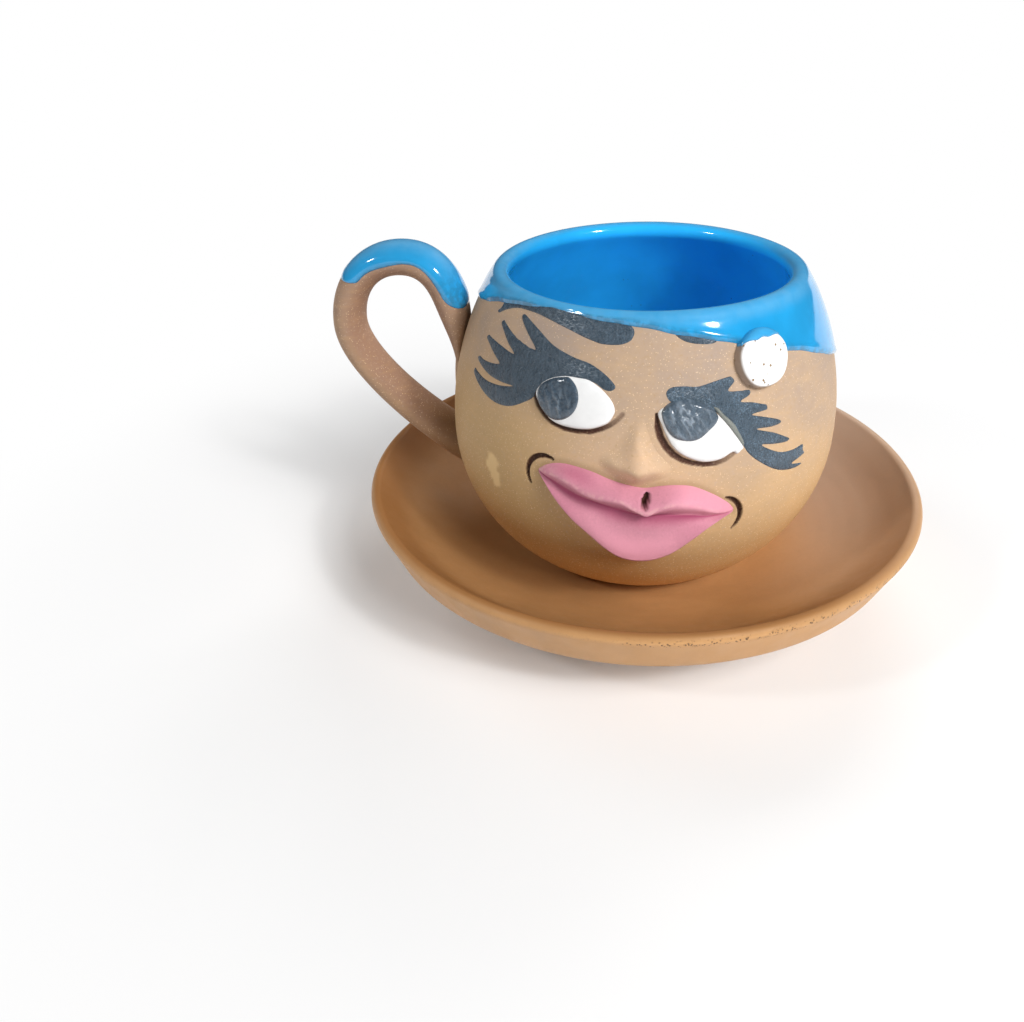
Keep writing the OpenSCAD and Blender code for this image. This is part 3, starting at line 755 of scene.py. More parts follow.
def white_slip(finish):
    """Thick white slip with pinholes and a satin face."""
    f = Finish("white_slip")
    tone = f.mix(f.span(f.noise(3.0, 4.0), 0.35, 0.7), finish.white, shade(finish.white, 0.95))
    holes = f.times(f.dots(0.9, (0.26, 0.14), (0.52, 0.56)), f.mark("pitted"))
    tone = f.mix(f.mark("bare"), tone, finish.clay_high)
    f.base(f.mix(holes, tone, shade(finish.clay_low, 0.45)))
    f.set(roughness=f.span(f.noise(2.0, 3.0), 0.3, 0.7, 0.30, 0.42))
    f.set(normal=f.bump(f.noise(0.9, 3.0), 0.05, 0.45, f.bump(f.sum("SUBTRACT", 1.0, holes), 0.2, 0.8)))
    return f.material


def charcoal_paint(finish):
    """Charcoal paint laid on with a brush over grainy clay."""
    f = Finish("charcoal_paint")
    grain = f.noise(0.35, 3.0, 0.7)
    strokes = f.noise(0.8, 4.0, 0.65, (1.0, 1.0, 0.45))
    tone = f.tinted(f.span(strokes, 0.30, 0.70), finish.black, 0.88, 1.18)
    tone = f.mix(f.span(grain, 0.60, 0.78, 0.0, 0.5), tone, shade(finish.black, 2.6))
    # Painted sheen: grainy paler specks on the strokes, strongest on the right lashes
    patches = f.span(f.noise(2.2, 3.0), 0.35, 0.65, 0.4, 1.0)
    sheen_grain = f.times(f.span(f.noise(0.2, 4.0, 0.75), 0.44, 0.66), patches)
    tone = f.mix(f.times(sheen_grain, f.mark("dusty")), tone, shade(finish.black, 4.4))
    # Painted glints on the thick paint
    glints = f.times(f.mark("wet"), f.span(f.noise(0.24, 3.0, 0.6, (0.5, 0.5, 1.4)), 0.48, 0.72))
    tone = f.mix(glints, tone, finish.glints)
    f.base(f.mix(f.mark("faded"), tone, finish.faded))
    f.set(roughness=f.span(strokes, 0.3, 0.7, 0.20, 0.40))
    f.set(normal=f.bump(grain, 0.10, 0.7, f.bump(strokes, 0.30, 1.0)))
    return f.material


def wet_pupil(finish):
    """Thick glossy blue-black paint that dried in wrinkles."""
    f = Finish("wet_pupil")
    wrinkle = f.noise(0.75, 3.0, 0.6)
    tone = f.tinted(f.span(wrinkle, 0.3, 0.7), finish.pupil, 0.85, 1.35)
    # Painted highlight: pale shine on the pupils, strongest on the folds
    f.base(f.mix(f.mark("sheen"), tone, finish.folds))
    f.set(roughness=f.span(f.noise(0.5, 2.0), 0.3, 0.7, 0.16, 0.28))
    f.set(coat_weight=1.0, coat_roughness=0.10)
    f.set(normal=f.bump(wrinkle, 0.5, 1.0))
    return f.material


FINISHES = {"dry_clay": (dry_clay, "cup_clay"), "burnished_terracotta": (burnished_terracotta, "saucer_clay"),
            "dip_glaze": (dip_glaze, "blue_glaze"), "pink_slip": (pink_slip, "pink_paint"),
            "white_slip": (white_slip, "white_paint"), "charcoal_paint": (charcoal_paint, "black_paint"),
            "wet_pupil": (wet_pupil, "pupil_paint")}


def finish_of(name):
    """The named finish, made the first time it is asked for, and the slot that it belongs to."""
    make, slot = FINISHES[name]
    return bpy.data.materials.get(name) or make(bpy.context.scene.clay_cup.finish), slot


# Places of the features on the wall

LEFT_EYE = (-17.0, 11.8)
RIGHT_EYE = (15.0, 14.3)
LEFT_WHITE = ((-2.3, 3.3), (-0.2, 3.3), (1.4, 3.2), (3.1, 2.4), (4.5, 1.4), (5.5, 0.3), (5.9, -0.7),
              (5.8, -1.4), (5.3, -2.5), (4.2, -3.3), (2.5, -4.0), (0.2, -4.3), (-2.5, -4.1), (-4.3, -3.4),
              (-5.8, -2.1), (-6.7, -0.8), (-7.0, 0.2), (-6.2, 1.6), (-4.5, 2.7))
RIGHT_WHITE = ((-4.4, 2.8), (-5.4, 2.2), (-5.6, 1.4), (-5.1, 0.1), (-4.5, -1.6), (-3.5, -3.4), (-2.1, -4.7),
               (-0.1, -5.7), (1.6, -6.1), (3.8, -5.9), (5.7, -5.0), (6.4, -5.4), (7.1, -4.9), (7.4, -4.2),
               (5.5, -1.6), (3.3, 0.9), (1.1, 2.5), (-1.4, 3.3), (-3.4, 3.4))
RIGHT_PUPIL = ((-3.8, 3.3), (-5.0, 2.3), (-5.1, 1.3), (-4.5, -0.5), (-3.4, -1.9), (-1.5, -2.5), (0.2, -2.3),
               (1.8, -1.1), (2.8, -0.2), (3.2, 0.8), (2.5, 1.9), (1.1, 2.7), (-0.6, 3.5), (-2.1, 3.6))
LEFT_LINE = ((-7.6, 0.8), (-7.0, -0.5), (-6.2, -1.7), (-5.0, -2.9), (-3.5, -3.9), (-1.5, -4.5), (0.5, -4.6),
             (2.6, -4.4), (4.2, -3.7), (5.5, -2.9), (6.4, -2.0), (7.0, -1.1))
RIGHT_LINE = ((-5.8, 1.6), (-5.7, -0.2), (-5.3, -1.8), (-4.5, -3.3), (-3.5, -4.5), (-2.1, -5.5),
              (-0.6, -6.1), (1.2, -6.5), (3.0, -6.5), (4.5, -6.1), (5.8, -5.3))
LEFT_CREASE = (-27.0, 24.3, (1.6, -0.2), 3.3, 66.0, 218.0)
RIGHT_CREASE = (26.0, 29.8, (-2.3, -0.7), 3.8, -44.0, 78.0)
# Dabs on the cheek: turn to the left, sway and pitch of the edge, width, middle height and half height
CHEEK_DABS = ((43.6, 0.4, 2.1, 2.6, 31.2, 2.1), (42.2, 0.3, 3.3, 2.0, 28.9, 1.7))
BUTTON = (35.2, 6.95)
NOSE_TURN = 0.2
SLIT_TURN = 2.4

# Edges of the lips: turn round the cup and depth below the rim
LIP_TOP = ((-26.4, 23.6), (-24.3, 22.6), (-22.2, 22.0), (-19.0, 21.6), (-15.0, 21.7), (-11.0, 22.1),
           (-6.5, 23.0), (-2.5, 23.6), (2.5, 24.0), (6.0, 23.7), (10.0, 23.6), (14.0, 23.9), (19.0, 25.3),
           (22.5, 26.7), (25.0, 28.0), (26.3, 29.0))
LIP_RIDGE = ((-26.4, 23.7), (-24.0, 23.6), (-21.5, 23.5), (-18.5, 23.6), (-15.5, 24.1), (-13.0, 24.7),
             (-10.0, 25.2), (-5.5, 25.2), (-3.0, 25.4), (-1.0, 26.1), (1.0, 26.7), (3.2, 27.1), (4.5, 26.7),
             (6.0, 26.3), (8.5, 25.9), (12.0, 26.1), (16.0, 26.9), (20.0, 28.1), (23.5, 28.8), (26.3, 29.1))
LIP_SEAM = ((-26.4, 23.8), (-23.5, 24.4), (-20.5, 24.9), (-17.5, 25.6), (-14.5, 26.1), (-9.5, 26.6),
            (-4.5, 27.4), (0.5, 27.8), (5.0, 28.0), (9.0, 28.1), (14.0, 28.4), (19.0, 29.0), (23.0, 29.3),
            (26.3, 29.2))
LIP_LOW = ((-26.4, 23.9), (-23.5, 25.1), (-19.5, 27.3), (-14.5, 29.8), (-10.0, 31.8), (-6.5, 33.6),
           (-3.0, 35.0), (0.0, 35.5), (4.5, 35.4), (9.5, 34.2), (14.0, 32.2), (18.0, 30.5), (22.0, 29.6),
           (26.3, 29.4))

# Painted strokes, on a board at the eye
LEFT_LASHES = ((-11.6, 11.3), (-10.6, 10.8), (-8.0, 9.2), (-5.1, 7.4), (-1.6, 6.2), (1.2, 5.6), (3.5, 4.5),
               (5.0, 3.4), (5.5, 2.7), (5.0, 2.1), (3.9, 2.1), (2.5, 2.8), (0.9, 3.2), (-1.1, 3.1),
               (-2.8, 2.7), (-4.6, 2.0), (-6.1, 1.0), (-7.2, 0.1), (-7.4, -0.8), (-8.7, -1.7),
               (-11.3, -2.9), (-14.0, -3.2), (-16.8, -2.6), (-19.5, -1.1), (-21.4, 0.6), (-21.2, 1.5),
               (-20.2, 1.0), (-17.8, 0.1), (-14.7, -0.15), (-11.7, 0.2), (-14.2, 0.4), (-17.1, 1.0),
               (-19.5, 2.1), (-20.8, 3.1), (-20.3, 3.6), (-19.1, 3.2), (-17.0, 3.0), (-15.1, 3.2),
               (-16.6, 4.4), (-18.1, 5.7), (-19.2, 6.7), (-18.7, 7.2), (-17.9, 6.9), (-15.3, 6.0),
               (-12.3, 5.1), (-13.9, 6.6), (-15.4, 8.3), (-16.2, 9.4), (-15.7, 9.9), (-15.0, 9.4),
               (-12.5, 7.8), (-8.3, 6.3), (-9.8, 8.1), (-11.2, 9.6), (-12.0, 10.8))
RIGHT_LASHES = ((-3.7, 3.3), (-4.4, 4.5), (-3.7, 5.4), (-1.8, 5.5), (0.3, 5.3), (2.6, 5.8), (4.9, 6.3),
                (5.5, 6.2), (5.9, 5.5), (4.9, 4.3), (6.7, 4.1), (8.2, 4.1), (8.5, 3.7), (8.2, 3.2),
                (6.9, 2.5), (8.8, 2.2), (10.6, 1.7), (11.3, 1.5), (11.4, 0.8), (10.4, 0.6), (8.8, 0.3),
                (11.1, -0.3), (13.7, -1.1), (13.9, -1.7), (12.2, -2.0), (9.7, -2.0), (12.6, -2.9),
                (15.1, -4.0), (15.9, -4.5), (15.2, -4.9), (12.8, -4.8), (10.7, -4.6), (12.6, -5.7),
                (14.7, -6.4), (17.0, -6.4), (18.9, -6.0), (19.1, -6.9), (19.5, -7.6), (18.3, -8.2),
                (16.9, -8.8), (19.3, -9.2), (17.8, -9.7), (15.5, -9.6), (13.2, -8.9), (10.5, -7.3),
                (8.5, -5.7), (7.4, -4.2), (5.5, -1.4), (3.8, 0.7), (1.8, 2.0), (-0.6, 3.2), (-2.1, 3.2))
LID_STREAK = ((2.5, 2.1), (3.2, 2.0), (4.1, 1.0), (5.2, 0.0), (6.0, -0.9), (6.4, -1.6), (7.2, -3.0),
              (7.5, -3.9), (7.2, -4.2), (6.3, -3.0), (4.8, -0.8), (3.4, 0.9))

# Brows: turn round the cup and depth below the rim, tucked under the glaze along their upper edge
LEFT_BROW = ((-56.3, 3.5), (-54.9, 2.7), (-54.7, 1.7), (-49.5, 0.95), (-45.0, 0.8), (-38.3, 0.4),
             (-33.4, 0.3), (-26.2, 0.3), (-20.4, 0.35), (-14.5, 0.6), (-9.0, 0.9), (-5.5, 1.1), (-3.6, 1.5),
             (-2.7, 2.1), (-2.9, 2.8), (-3.9, 3.4), (-6.8, 3.9), (-11.5, 4.0), (-14.4, 3.8), (-18.9, 3.3),
             (-23.0, 2.8), (-27.2, 2.4), (-32.0, 2.0), (-37.0, 1.75), (-42.4, 1.75), (-46.9, 2.0),
             (-50.7, 2.6), (-53.3, 3.2), (-55.2, 3.7))
RIGHT_BROW = ((9.0, 2.2), (14.0, 2.3), (20.0, 2.9), (22.5, 3.6), (20.5, 4.0), (17.0, 3.9), (14.0, 3.65),
              (11.5, 3.2))


def board_at(wall, place):
    return Board(wall, place[0], wall.below(place[1]))


def painted_light_and_shade(turn, z):
    """Shares of painted shade on the cup's left side and of painted light in the middle of the face, at
    places on the wall.
    """
    turn = (turn + 180.0) % 360.0 - 180.0
    # Painted shade: darker, more orange clay on the left side
    warm = 0.75 * smooth(12.0, -40.0, turn) * smooth(-150.0, -80.0, turn) * smooth(50.0, 36.0, z)
    # Painted light: lighter clay in the middle of the face
    return warm, 0.65 * hump(turn, -3.0, 20.0) * hump(z, 37.5, 6.0)


def lip_edges(wall, turn):
    """Heights of the top edge, the ridge, the seam and the low edge of the lips at turns round the cup."""
    return tuple(wall.below(through(edge, turn)) for edge in (LIP_TOP, LIP_RIDGE, LIP_SEAM, LIP_LOW))


class CLAYCUP_OT_saucer(bpy.types.Operator):
    """Build the saucer as a thrown dish with a rounded rim"""
    bl_idname = "claycup.saucer"
    bl_label = "Saucer"

    # Room round the cup's foot, lean of the outer edge, and how far the hollow starts inside the rim's bead
    well_room = 3.0
    edge_lean = 0.44
    bead_step = 0.34

    def execute(self, context):
        settings = context.scene.clay_cup
        s = settings.saucer
        bead = s.bead / MM
        rim_r = s.diameter / MM / 2 - bead
        rim_z = s.height / MM - bead
        section, bead_at = self.section(s, settings.cup.foot / MM / 2 + self.well_room, bead, rim_r, rim_z)
        turns = np.linspace(0.0, 360.0, 320, endpoint=False)
        a = np.radians(turns)
        # The pitted part of the rim, and the right and left sides of the hollow
        along = smooth(-14.0, 4.0, turns) * smooth(66.0, 48.0, turns)
        right = np.clip(np.sin(a - 0.6), 0.0, 1.0)
        left = np.clip(-np.sin(a - 0.8), 0.0, 1.0)
        rows, marks = [], []
        for k, (r, z) in enumerate(section):
            if r == 0.0:
                rows.append(np.array([[0.0, 0.0, z]]))
                marks.append(np.zeros((1, 4)))
                continue
            on_rim = smooth(rim_z - 6.5, rim_z - 2.0, z)
            # Throwing rings in the hollow, and a rim that isn't quite round or level
            hollow = 24.0 < r < 48.0 and z > 5.0
            ring = 0.012 * math.sin(r * 2.3) + 0.008 * math.sin(r * 5.1) if hollow else 0.0
            rr = r - 0.10 * on_rim * (1 + np.sin(3 * a + 0.4) * 0.5 + np.sin(7 * a + 2.0) * 0.3)
            zz = np.full(len(a), z + ring) + 0.10 * on_rim * (np.sin(2 * a + 1.1) * 0.5 - 0.5)
            rows.append(np.stack([rr * np.sin(a), -rr * np.cos(a), zz], axis=-1))
            # Paler outer wall from wear and painted light, pits along the rim, painted sheen inside at the
            # right, and browner clay at the left with painted shade inside along the rim
            inside = smooth(bead_at - 1, bead_at + 6, k)
            worn = smooth(4.0, 12.0, z) * (1 - inside) + 0 * a
            pitted = (0.12 + 0.88 * along) * hump(z, rim_z + 0.1, 0.42) * (r > rim_r)
            bloom = 0.7 * inside * right * smooth(24.0, 40.0, r)
            toasted = inside * np.clip(0.45 * left + 0.85 * smooth(42.0, 50.0, r) * (1 - right), 0.0, 1.0)
            marks.append(np.stack([worn, pitted, bloom, toasted], axis=-1))
        points, faces = turned_solid(rows, len(turns))
        mesh_object("saucer_thrown", points, faces, "burnished_terracotta", ["saucer"], "saucer",
                    dict(zip(("worn", "pitted", "bloom", "toasted"), np.concatenate(marks).T)))
        return {"FINISHED"}

    def section(self, s, well_r, bead, rim_r, rim_z):
        """Section from the foot's middle, over the rim, to the floor's middle, and where its bead starts."""
        floor = s.floor / MM
        foot_r = s.foot / MM / 2
        curve = s.curve / MM
        chord = np.array([rim_r - bead - well_r, rim_z - floor])
        long = math.hypot(*chord)
        sag = math.sqrt(curve ** 2 - (long / 2) ** 2)
        centre = np.array([well_r + chord[0] / 2 - sag * chord[1] / long,
                           floor + chord[1] / 2 + sag * chord[0] / long])
        under = curve + s.wall / MM
        edge = self.meet(centre, under, rim_r + bead - self.edge_lean * rim_z, self.edge_lean)

        def arc(middle, radius, angles):
            return [(middle[0] + radius * math.cos(a), middle[1] + radius * math.sin(a)) for a in angles]

        first = math.atan2(-math.sqrt(under ** 2 - (foot_r - centre[0]) ** 2), foot_r - centre[0])
        last = math.atan2(edge[1] - centre[1], edge[0] - centre[0])
        rows = [(r, 0.0) for r in (0.0, 8.0, 16.0, 23.0, 27.0, foot_r - 0.6)]
        rows += [(foot_r - 0.18, 0.12), (foot_r, 0.5)]
        rows += arc(centre, under, np.linspace(first, last, 30)[:-1])
        rim = np.array([rim_r + bead, rim_z])
        rows += [tuple(edge + (rim - edge) * t) for t in np.linspace(0.04, 1.0, 10)]
        bead_at = len(rows)
        rows += arc((rim_r, rim_z), bead, np.linspace(0.0, 0.8 * math.pi, 12)[1:])
        start = math.atan2(rim_z - centre[1], rim_r - bead - centre[0])
        end = math.atan2(floor - centre[1], well_r - centre[0])
        for k, a in enumerate(np.linspace(start, end, 44)[1:]):
            rows += arc(centre, curve - self.bead_step * (1 - smooth(0.0, 11.0, k)), [a])
        return rows + [(r, floor) for r in np.linspace(well_r, 0.0, 12)[1:]], bead_at

    @staticmethod
    def meet(centre, radius, edge_r, lean):
        """Where the sloping edge leaves the round underside."""
        low, high = 2.0, 17.0
        for _ in range(50):
            z = (low + high) / 2
            if math.hypot(edge_r + lean * z - centre[0], z - centre[1]) > radius:
                low = z
            else:
                high = z
        return np.array([edge_r + lean * z, z])


class CLAYCUP_OT_cup_body(bpy.types.Operator):
    """Build the thrown cup with the lines pressed into its face"""
    bl_idname = "claycup.cup_body"
    bl_label = "Cup body"

    def execute(self, context):
        settings = context.scene.clay_cup
        wall = CupWall(settings)
        # Turns and heights, closest together where the lines are pressed in
        spans = ((-62.0, -36.0, 1.0), (-36.0, -7.0, 0.25), (-7.0, 4.0, 0.5), (4.0, 36.0, 0.25),
                 (36.0, 62.0, 1.0), (62.0, 298.0, 2.5))
        turns = np.concatenate([np.arange(*span) for span in spans])
        base = [(r, wall.foot_z, 0.0, -1.0) for r in (0.0, 7.0, 13.0, 17.0, 19.6)]
        base.append((wall.foot_r - 0.35, wall.foot_z + 0.05, 0.5, -0.85))
        heights = np.concatenate([np.linspace(wall.foot_z + 0.4, 24.4, 22), np.arange(24.6, 48.4, 0.17),
                                  np.linspace(48.6, wall.shoulder_z - 0.2, 18)])
        hollow = wall.hollow()
        hollow = [*hollow[1:-1:3], hollow[-1]]
        rows = round_axis(base, turns)
        low = len(np.concatenate(rows))
        turn = np.tile(turns, len(heights))
        z = np.repeat(heights, len(turns))
        flat = wall.point(turn, z, 0.0)
        depth, groove, dab, dirt = self.pressed(settings, wall, flat, turn, z)
        a = np.radians(turn)
        lean = wall.lean(z)
        normal = np.stack([np.sin(a) * np.cos(lean), -np.cos(a) * np.cos(lean), np.sin(lean)], axis=-1)
        flat -= depth[:, None] * normal
        rows += list(flat.reshape(len(heights), len(turns), 3))
        rows += round_axis([*wall.lip(), *hollow], turns, wall.uneven)
        points, faces = turned_solid(rows, len(turns))
        marks = {}
        warm, pale = painted_light_and_shade(turn, z)
        for name, values in dict(groove=groove, dab=dab, dirt=dirt, warm=warm, pale=pale).items():
            marks[name] = np.zeros(len(points))
            marks[name][low:low + len(flat)] = values
        mesh_object("cup_thrown", points, faces, "dry_clay", ["cup_body"], marks=marks)
        return {"FINISHED"}

    @staticmethod
    def pressed(settings, wall, points, turn, z):
        """Depth of the pressed lines, the marks left on the clay and the painted shade round the lips, at
        points of the wall.
        """
        face = settings.face
        half = face.line_width / MM / 2
        deep = face.line_depth / MM
        depth = np.zeros(len(points))
        groove = np.zeros(len(points))
        for place, line in ((LEFT_EYE, LEFT_LINE), (RIGHT_EYE, RIGHT_LINE)):
            u, v, facing = board_at(wall, place).places(points)
            off, along = line_distance(u, v, line)
            width = half * (0.45 + 0.45 * smooth(0.0, 0.15, along) - 0.3 * smooth(0.3, 0.7, along))
            cut = smooth(width * 1.4, width * 0.5, off) * facing * (1 - 0.6 * smooth(0.6, 1.0, along))
            depth = np.maximum(depth, 0.7 * deep * cut)
            stain = smooth(width * 1.7, width * 1.0, off) * facing * (1 - 0.45 * smooth(0.75, 1.0, along))
            groove = np.maximum(groove, stain)
        for turn0, drop, middle, radius, start, end in (LEFT_CREASE, RIGHT_CREASE):
            u, v, facing = board_at(wall, (turn0, drop)).places(points)
            off, along = arc_distance(u, v, middle, radius, start, end)
            width = half * (0.26 + 0.62 * np.sqrt(np.maximum(np.sin(np.pi * along), 0.0)))
            depth = np.maximum(depth, deep * smooth(width * 1.25, width * 0.45, off) * facing)
            groove = np.maximum(groove, smooth(width * 1.35, width * 0.95, off) * facing)
        dab = np.zeros(len(points))
        for left, sway, pitch, wide, middle, tall in CHEEK_DABS:
            off = np.hypot((turn + left + sway * np.sin(z * pitch)) / wide, (z - middle) / tall)
            dab = np.maximum(dab, smooth(1.2, 0.8, off))
        # Painted shade: darker clay round the lips, beside the nose's base and below the left corner of the
        # mouth
        top, _, _, low = lip_edges(wall, turn)
        outside = np.maximum(np.maximum(z - top, low - z), (np.abs(turn) - 26.0) * 0.5)
        dirt = 0.8 * smooth(1.2, 0.1, outside)
        dirt += 0.45 * hump(turn, -6.0, 4.0) * hump(z, 36.6, 1.3)
        dirt += 0.35 * hump(turn, -24.0, 4.0) * hump(z, 32.0, 3.0)
        return depth, groove, dab, np.clip(dirt, 0.0, 1.0)


class CLAYCUP_OT_cup_glaze(bpy.types.Operator):
    """Lay the dip glaze inside the cup, over its lip and down to the dip line"""
    bl_idname = "claycup.cup_glaze"
    bl_label = "Cup glaze"

    def execute(self, context):
        settings = context.scene.clay_cup
        wall = CupWall(settings)
        coat = settings.glaze.thickness / MM
        turns = np.linspace(-180.0, 180.0, 480, endpoint=False)
        edge = wall.dip_line(turns)
        zero = np.zeros(len(turns))
        back = smooth(70.0, 150.0, np.abs(turns))
        # Painted shade inside the cup: darker on the left, lighter on the right
        shaded = 0.5 - 0.55 * np.sin(np.radians(turns))
        close = [0.0, 0.004, 0.012, 0.025, 0.045, 0.07, 0.1, 0.14, 0.2]
        steps = np.concatenate([close, np.linspace(0.28, 1.0, 12)])
        top, under, marks = [], [], []
        # Outside, from the dip line up to the shoulder, with a bead above the line
        for t in steps:
            along = (wall.shoulder_z - edge) * t
            z = edge + along
            bead = coat * rounded(along, 0.45) * (1 + 0.35 * hump(along, 0.7, 0.55))
            bead *= 1 - 0.25 * smooth(0.75, 1.0, t)
            top.append(wall.point(turns, z, bead - 0.02))
            under.append(wall.point(turns, z, -TUCK))
            # Paler glaze near the shoulder: thin glaze and painted reflection
            thin = 0.6 * smooth(wall.shoulder_z - 1.8, wall.shoulder_z, z)
            marks.append(np.stack([zero, thin, smooth(1.3, 0.1, along), zero], axis=-1))
        # Over the lip
        lip = wall.lip(20)[1:]
        for k, row in enumerate(lip):
            t = (k + 1) / len(lip)
            top += round_axis([moved(row, coat * (0.75 - 0.15 * math.sin(math.pi * t)))], turns, wall.uneven)
            under += round_axis([moved(row, -TUCK)], turns, wall.uneven)
            inside = smooth(0.45 - 0.15 * back, 1.0 - 0.35 * back, t)
            # Paler glaze on the lip's outer half: thin glaze and painted reflection
            thin = 0.6 * (1 - smooth(0.55 - 0.22 * back, 1.0 - 0.38 * back, t))
            marks.append(np.stack([inside, thin, zero, np.clip(shaded - 0.5 * back, 0.0, 1.0)], axis=-1))
        # Inside, down to the middle of the floor
        for k, row in enumerate(wall.hollow()[1:]):
            top += round_axis([moved(row, coat * (0.75 + 0.25 * smooth(0, 12, k)))], turns, wall.uneven)
            under += round_axis([moved(row, -TUCK)], turns, wall.uneven)
            # Painted light: lighter near the lip at the back
            near = 0.5 * back * smooth(12.0, 1.0, lip[-1][1] - row[1])
            deep = np.clip(shaded - near, 0.0, 1.0) if row[0] > ON_AXIS else np.array([0.5])
            marks.append(np.stack([deep * 0 + 1, deep * 0, deep * 0, deep], axis=-1))
        points, faces = turned_solid(top + under[::-1], len(turns))
        values = np.concatenate(marks + marks[::-1])
        # Close the coat along the dip line, and leave out the face between the two middles of the floor
        count = len(turns)
        last = len(points) - count
        ends = [(k, last + k, last + (k + 1) % count, (k + 1) % count) for k in range(count)]
        mid = sum(len(row) for row in top)
        faces = [f for f in faces if not (mid - 1 in f and mid in f)] + ends
        mesh_object("cup_glaze_coat", points, faces, "dip_glaze", ["cup_glaze"],
                    marks=dict(zip(("inside", "thin", "edge", "deep"), values.T)))
        return {"FINISHED"}


class Strap:
    """The handle's strap: three bends in one plane, and an oval section that flares at its roots."""
    # Depths below the rim of the upper root, the far side and the lower root
    top_drop, side_drop, low_drop = 17.0, 11.8, 37.4
    # How far the roots sit in the wall, and where the crown lies from the far side and the rim
    seat, crown_in, crown_up = 1.2, 10.9, 0.2
    # Length of the clay smeared down the wall below the upper root
    smear_long = 9.0
    # Power that squares the oval section a little
    squareness = 0.94

    def __init__(self, settings, wall):
        reach = settings.handle.reach / MM
        self.half_t = settings.handle.thickness / MM / 2
        self.half_w = settings.handle.width / MM / 2
        self.top_z = wall.below(self.top_drop)
        low_z = wall.below(self.low_drop)
        top = np.array([wall.radius(self.top_z) - self.seat / 2, self.top_z], float)
        low = np.array([wall.radius(low_z) - 2 * self.seat, low_z], float)
        crown = np.array([reach - self.crown_in, wall.rim_top + self.crown_up])
        side = np.array([reach, wall.below(self.side_drop)])
        self.bends = [(top, top + (1.2, 9.3), crown - (7.8, 0), crown),
                      (crown, crown + (6.5, 0), side + (0, 6.5), side),
                      (side, side - (0, 7.5), low + (11, 6.5), low)]

    def smear(self, wall, t, a):
        """Point on the clay smeared below the upper root, from 0 at the root to 1 at its thin end."""
        z = self.top_z - self.smear_long * t
        r = wall.radius(z) + 0.9 * (1 - t) ** 0.7 - 0.15 - 1.4 * (1 - np.cos(a))
        return np.stack([-r, self.half_w * 1.18 * (1 - 0.35 * t) * np.sin(a), z + 0 * a], axis=-1)

    def point(self, s, a, out=0.0):
        """Point at a place along the strap, from 0 to 3, and an angle round it that is 0 on the outside."""
        k = min(int(s), 2)
        t = s - k
        p0, p1, p2, p3 = self.bends[k]
        mid = p0 * (1 - t) ** 3 + p1 * 3 * t * (1 - t) ** 2 + p2 * 3 * t * t * (1 - t) + p3 * t ** 3
        way = (p1 - p0) * (1 - t) ** 2 + (p2 - p1) * 2 * t * (1 - t) + (p3 - p2) * t * t
        way = way / math.hypot(*way)
        grow = 1 + 0.18 * (math.exp(-(s / 0.35) ** 2) + math.exp(-((3 - s) / 0.45) ** 2))
        thin = 1 - 0.6 * math.exp(-(s / 0.25) ** 2)
        a = np.asarray(a, float)
        stray = -0.05 + 0.05 * np.sin(3.1 * s + 2 * a) * np.sin(1.7 * s + 0.5)
        cos, sin = (np.sign(part) * np.abs(part) ** self.squareness for part in (np.cos(a), np.sin(a)))
        in_plane = (self.half_t * grow * thin + stray + out) * cos
        across = (self.half_w * grow + stray + out) * sin
        return np.stack([-(mid[0] - way[1] * in_plane), across, mid[1] + way[0] * in_plane], axis=-1)


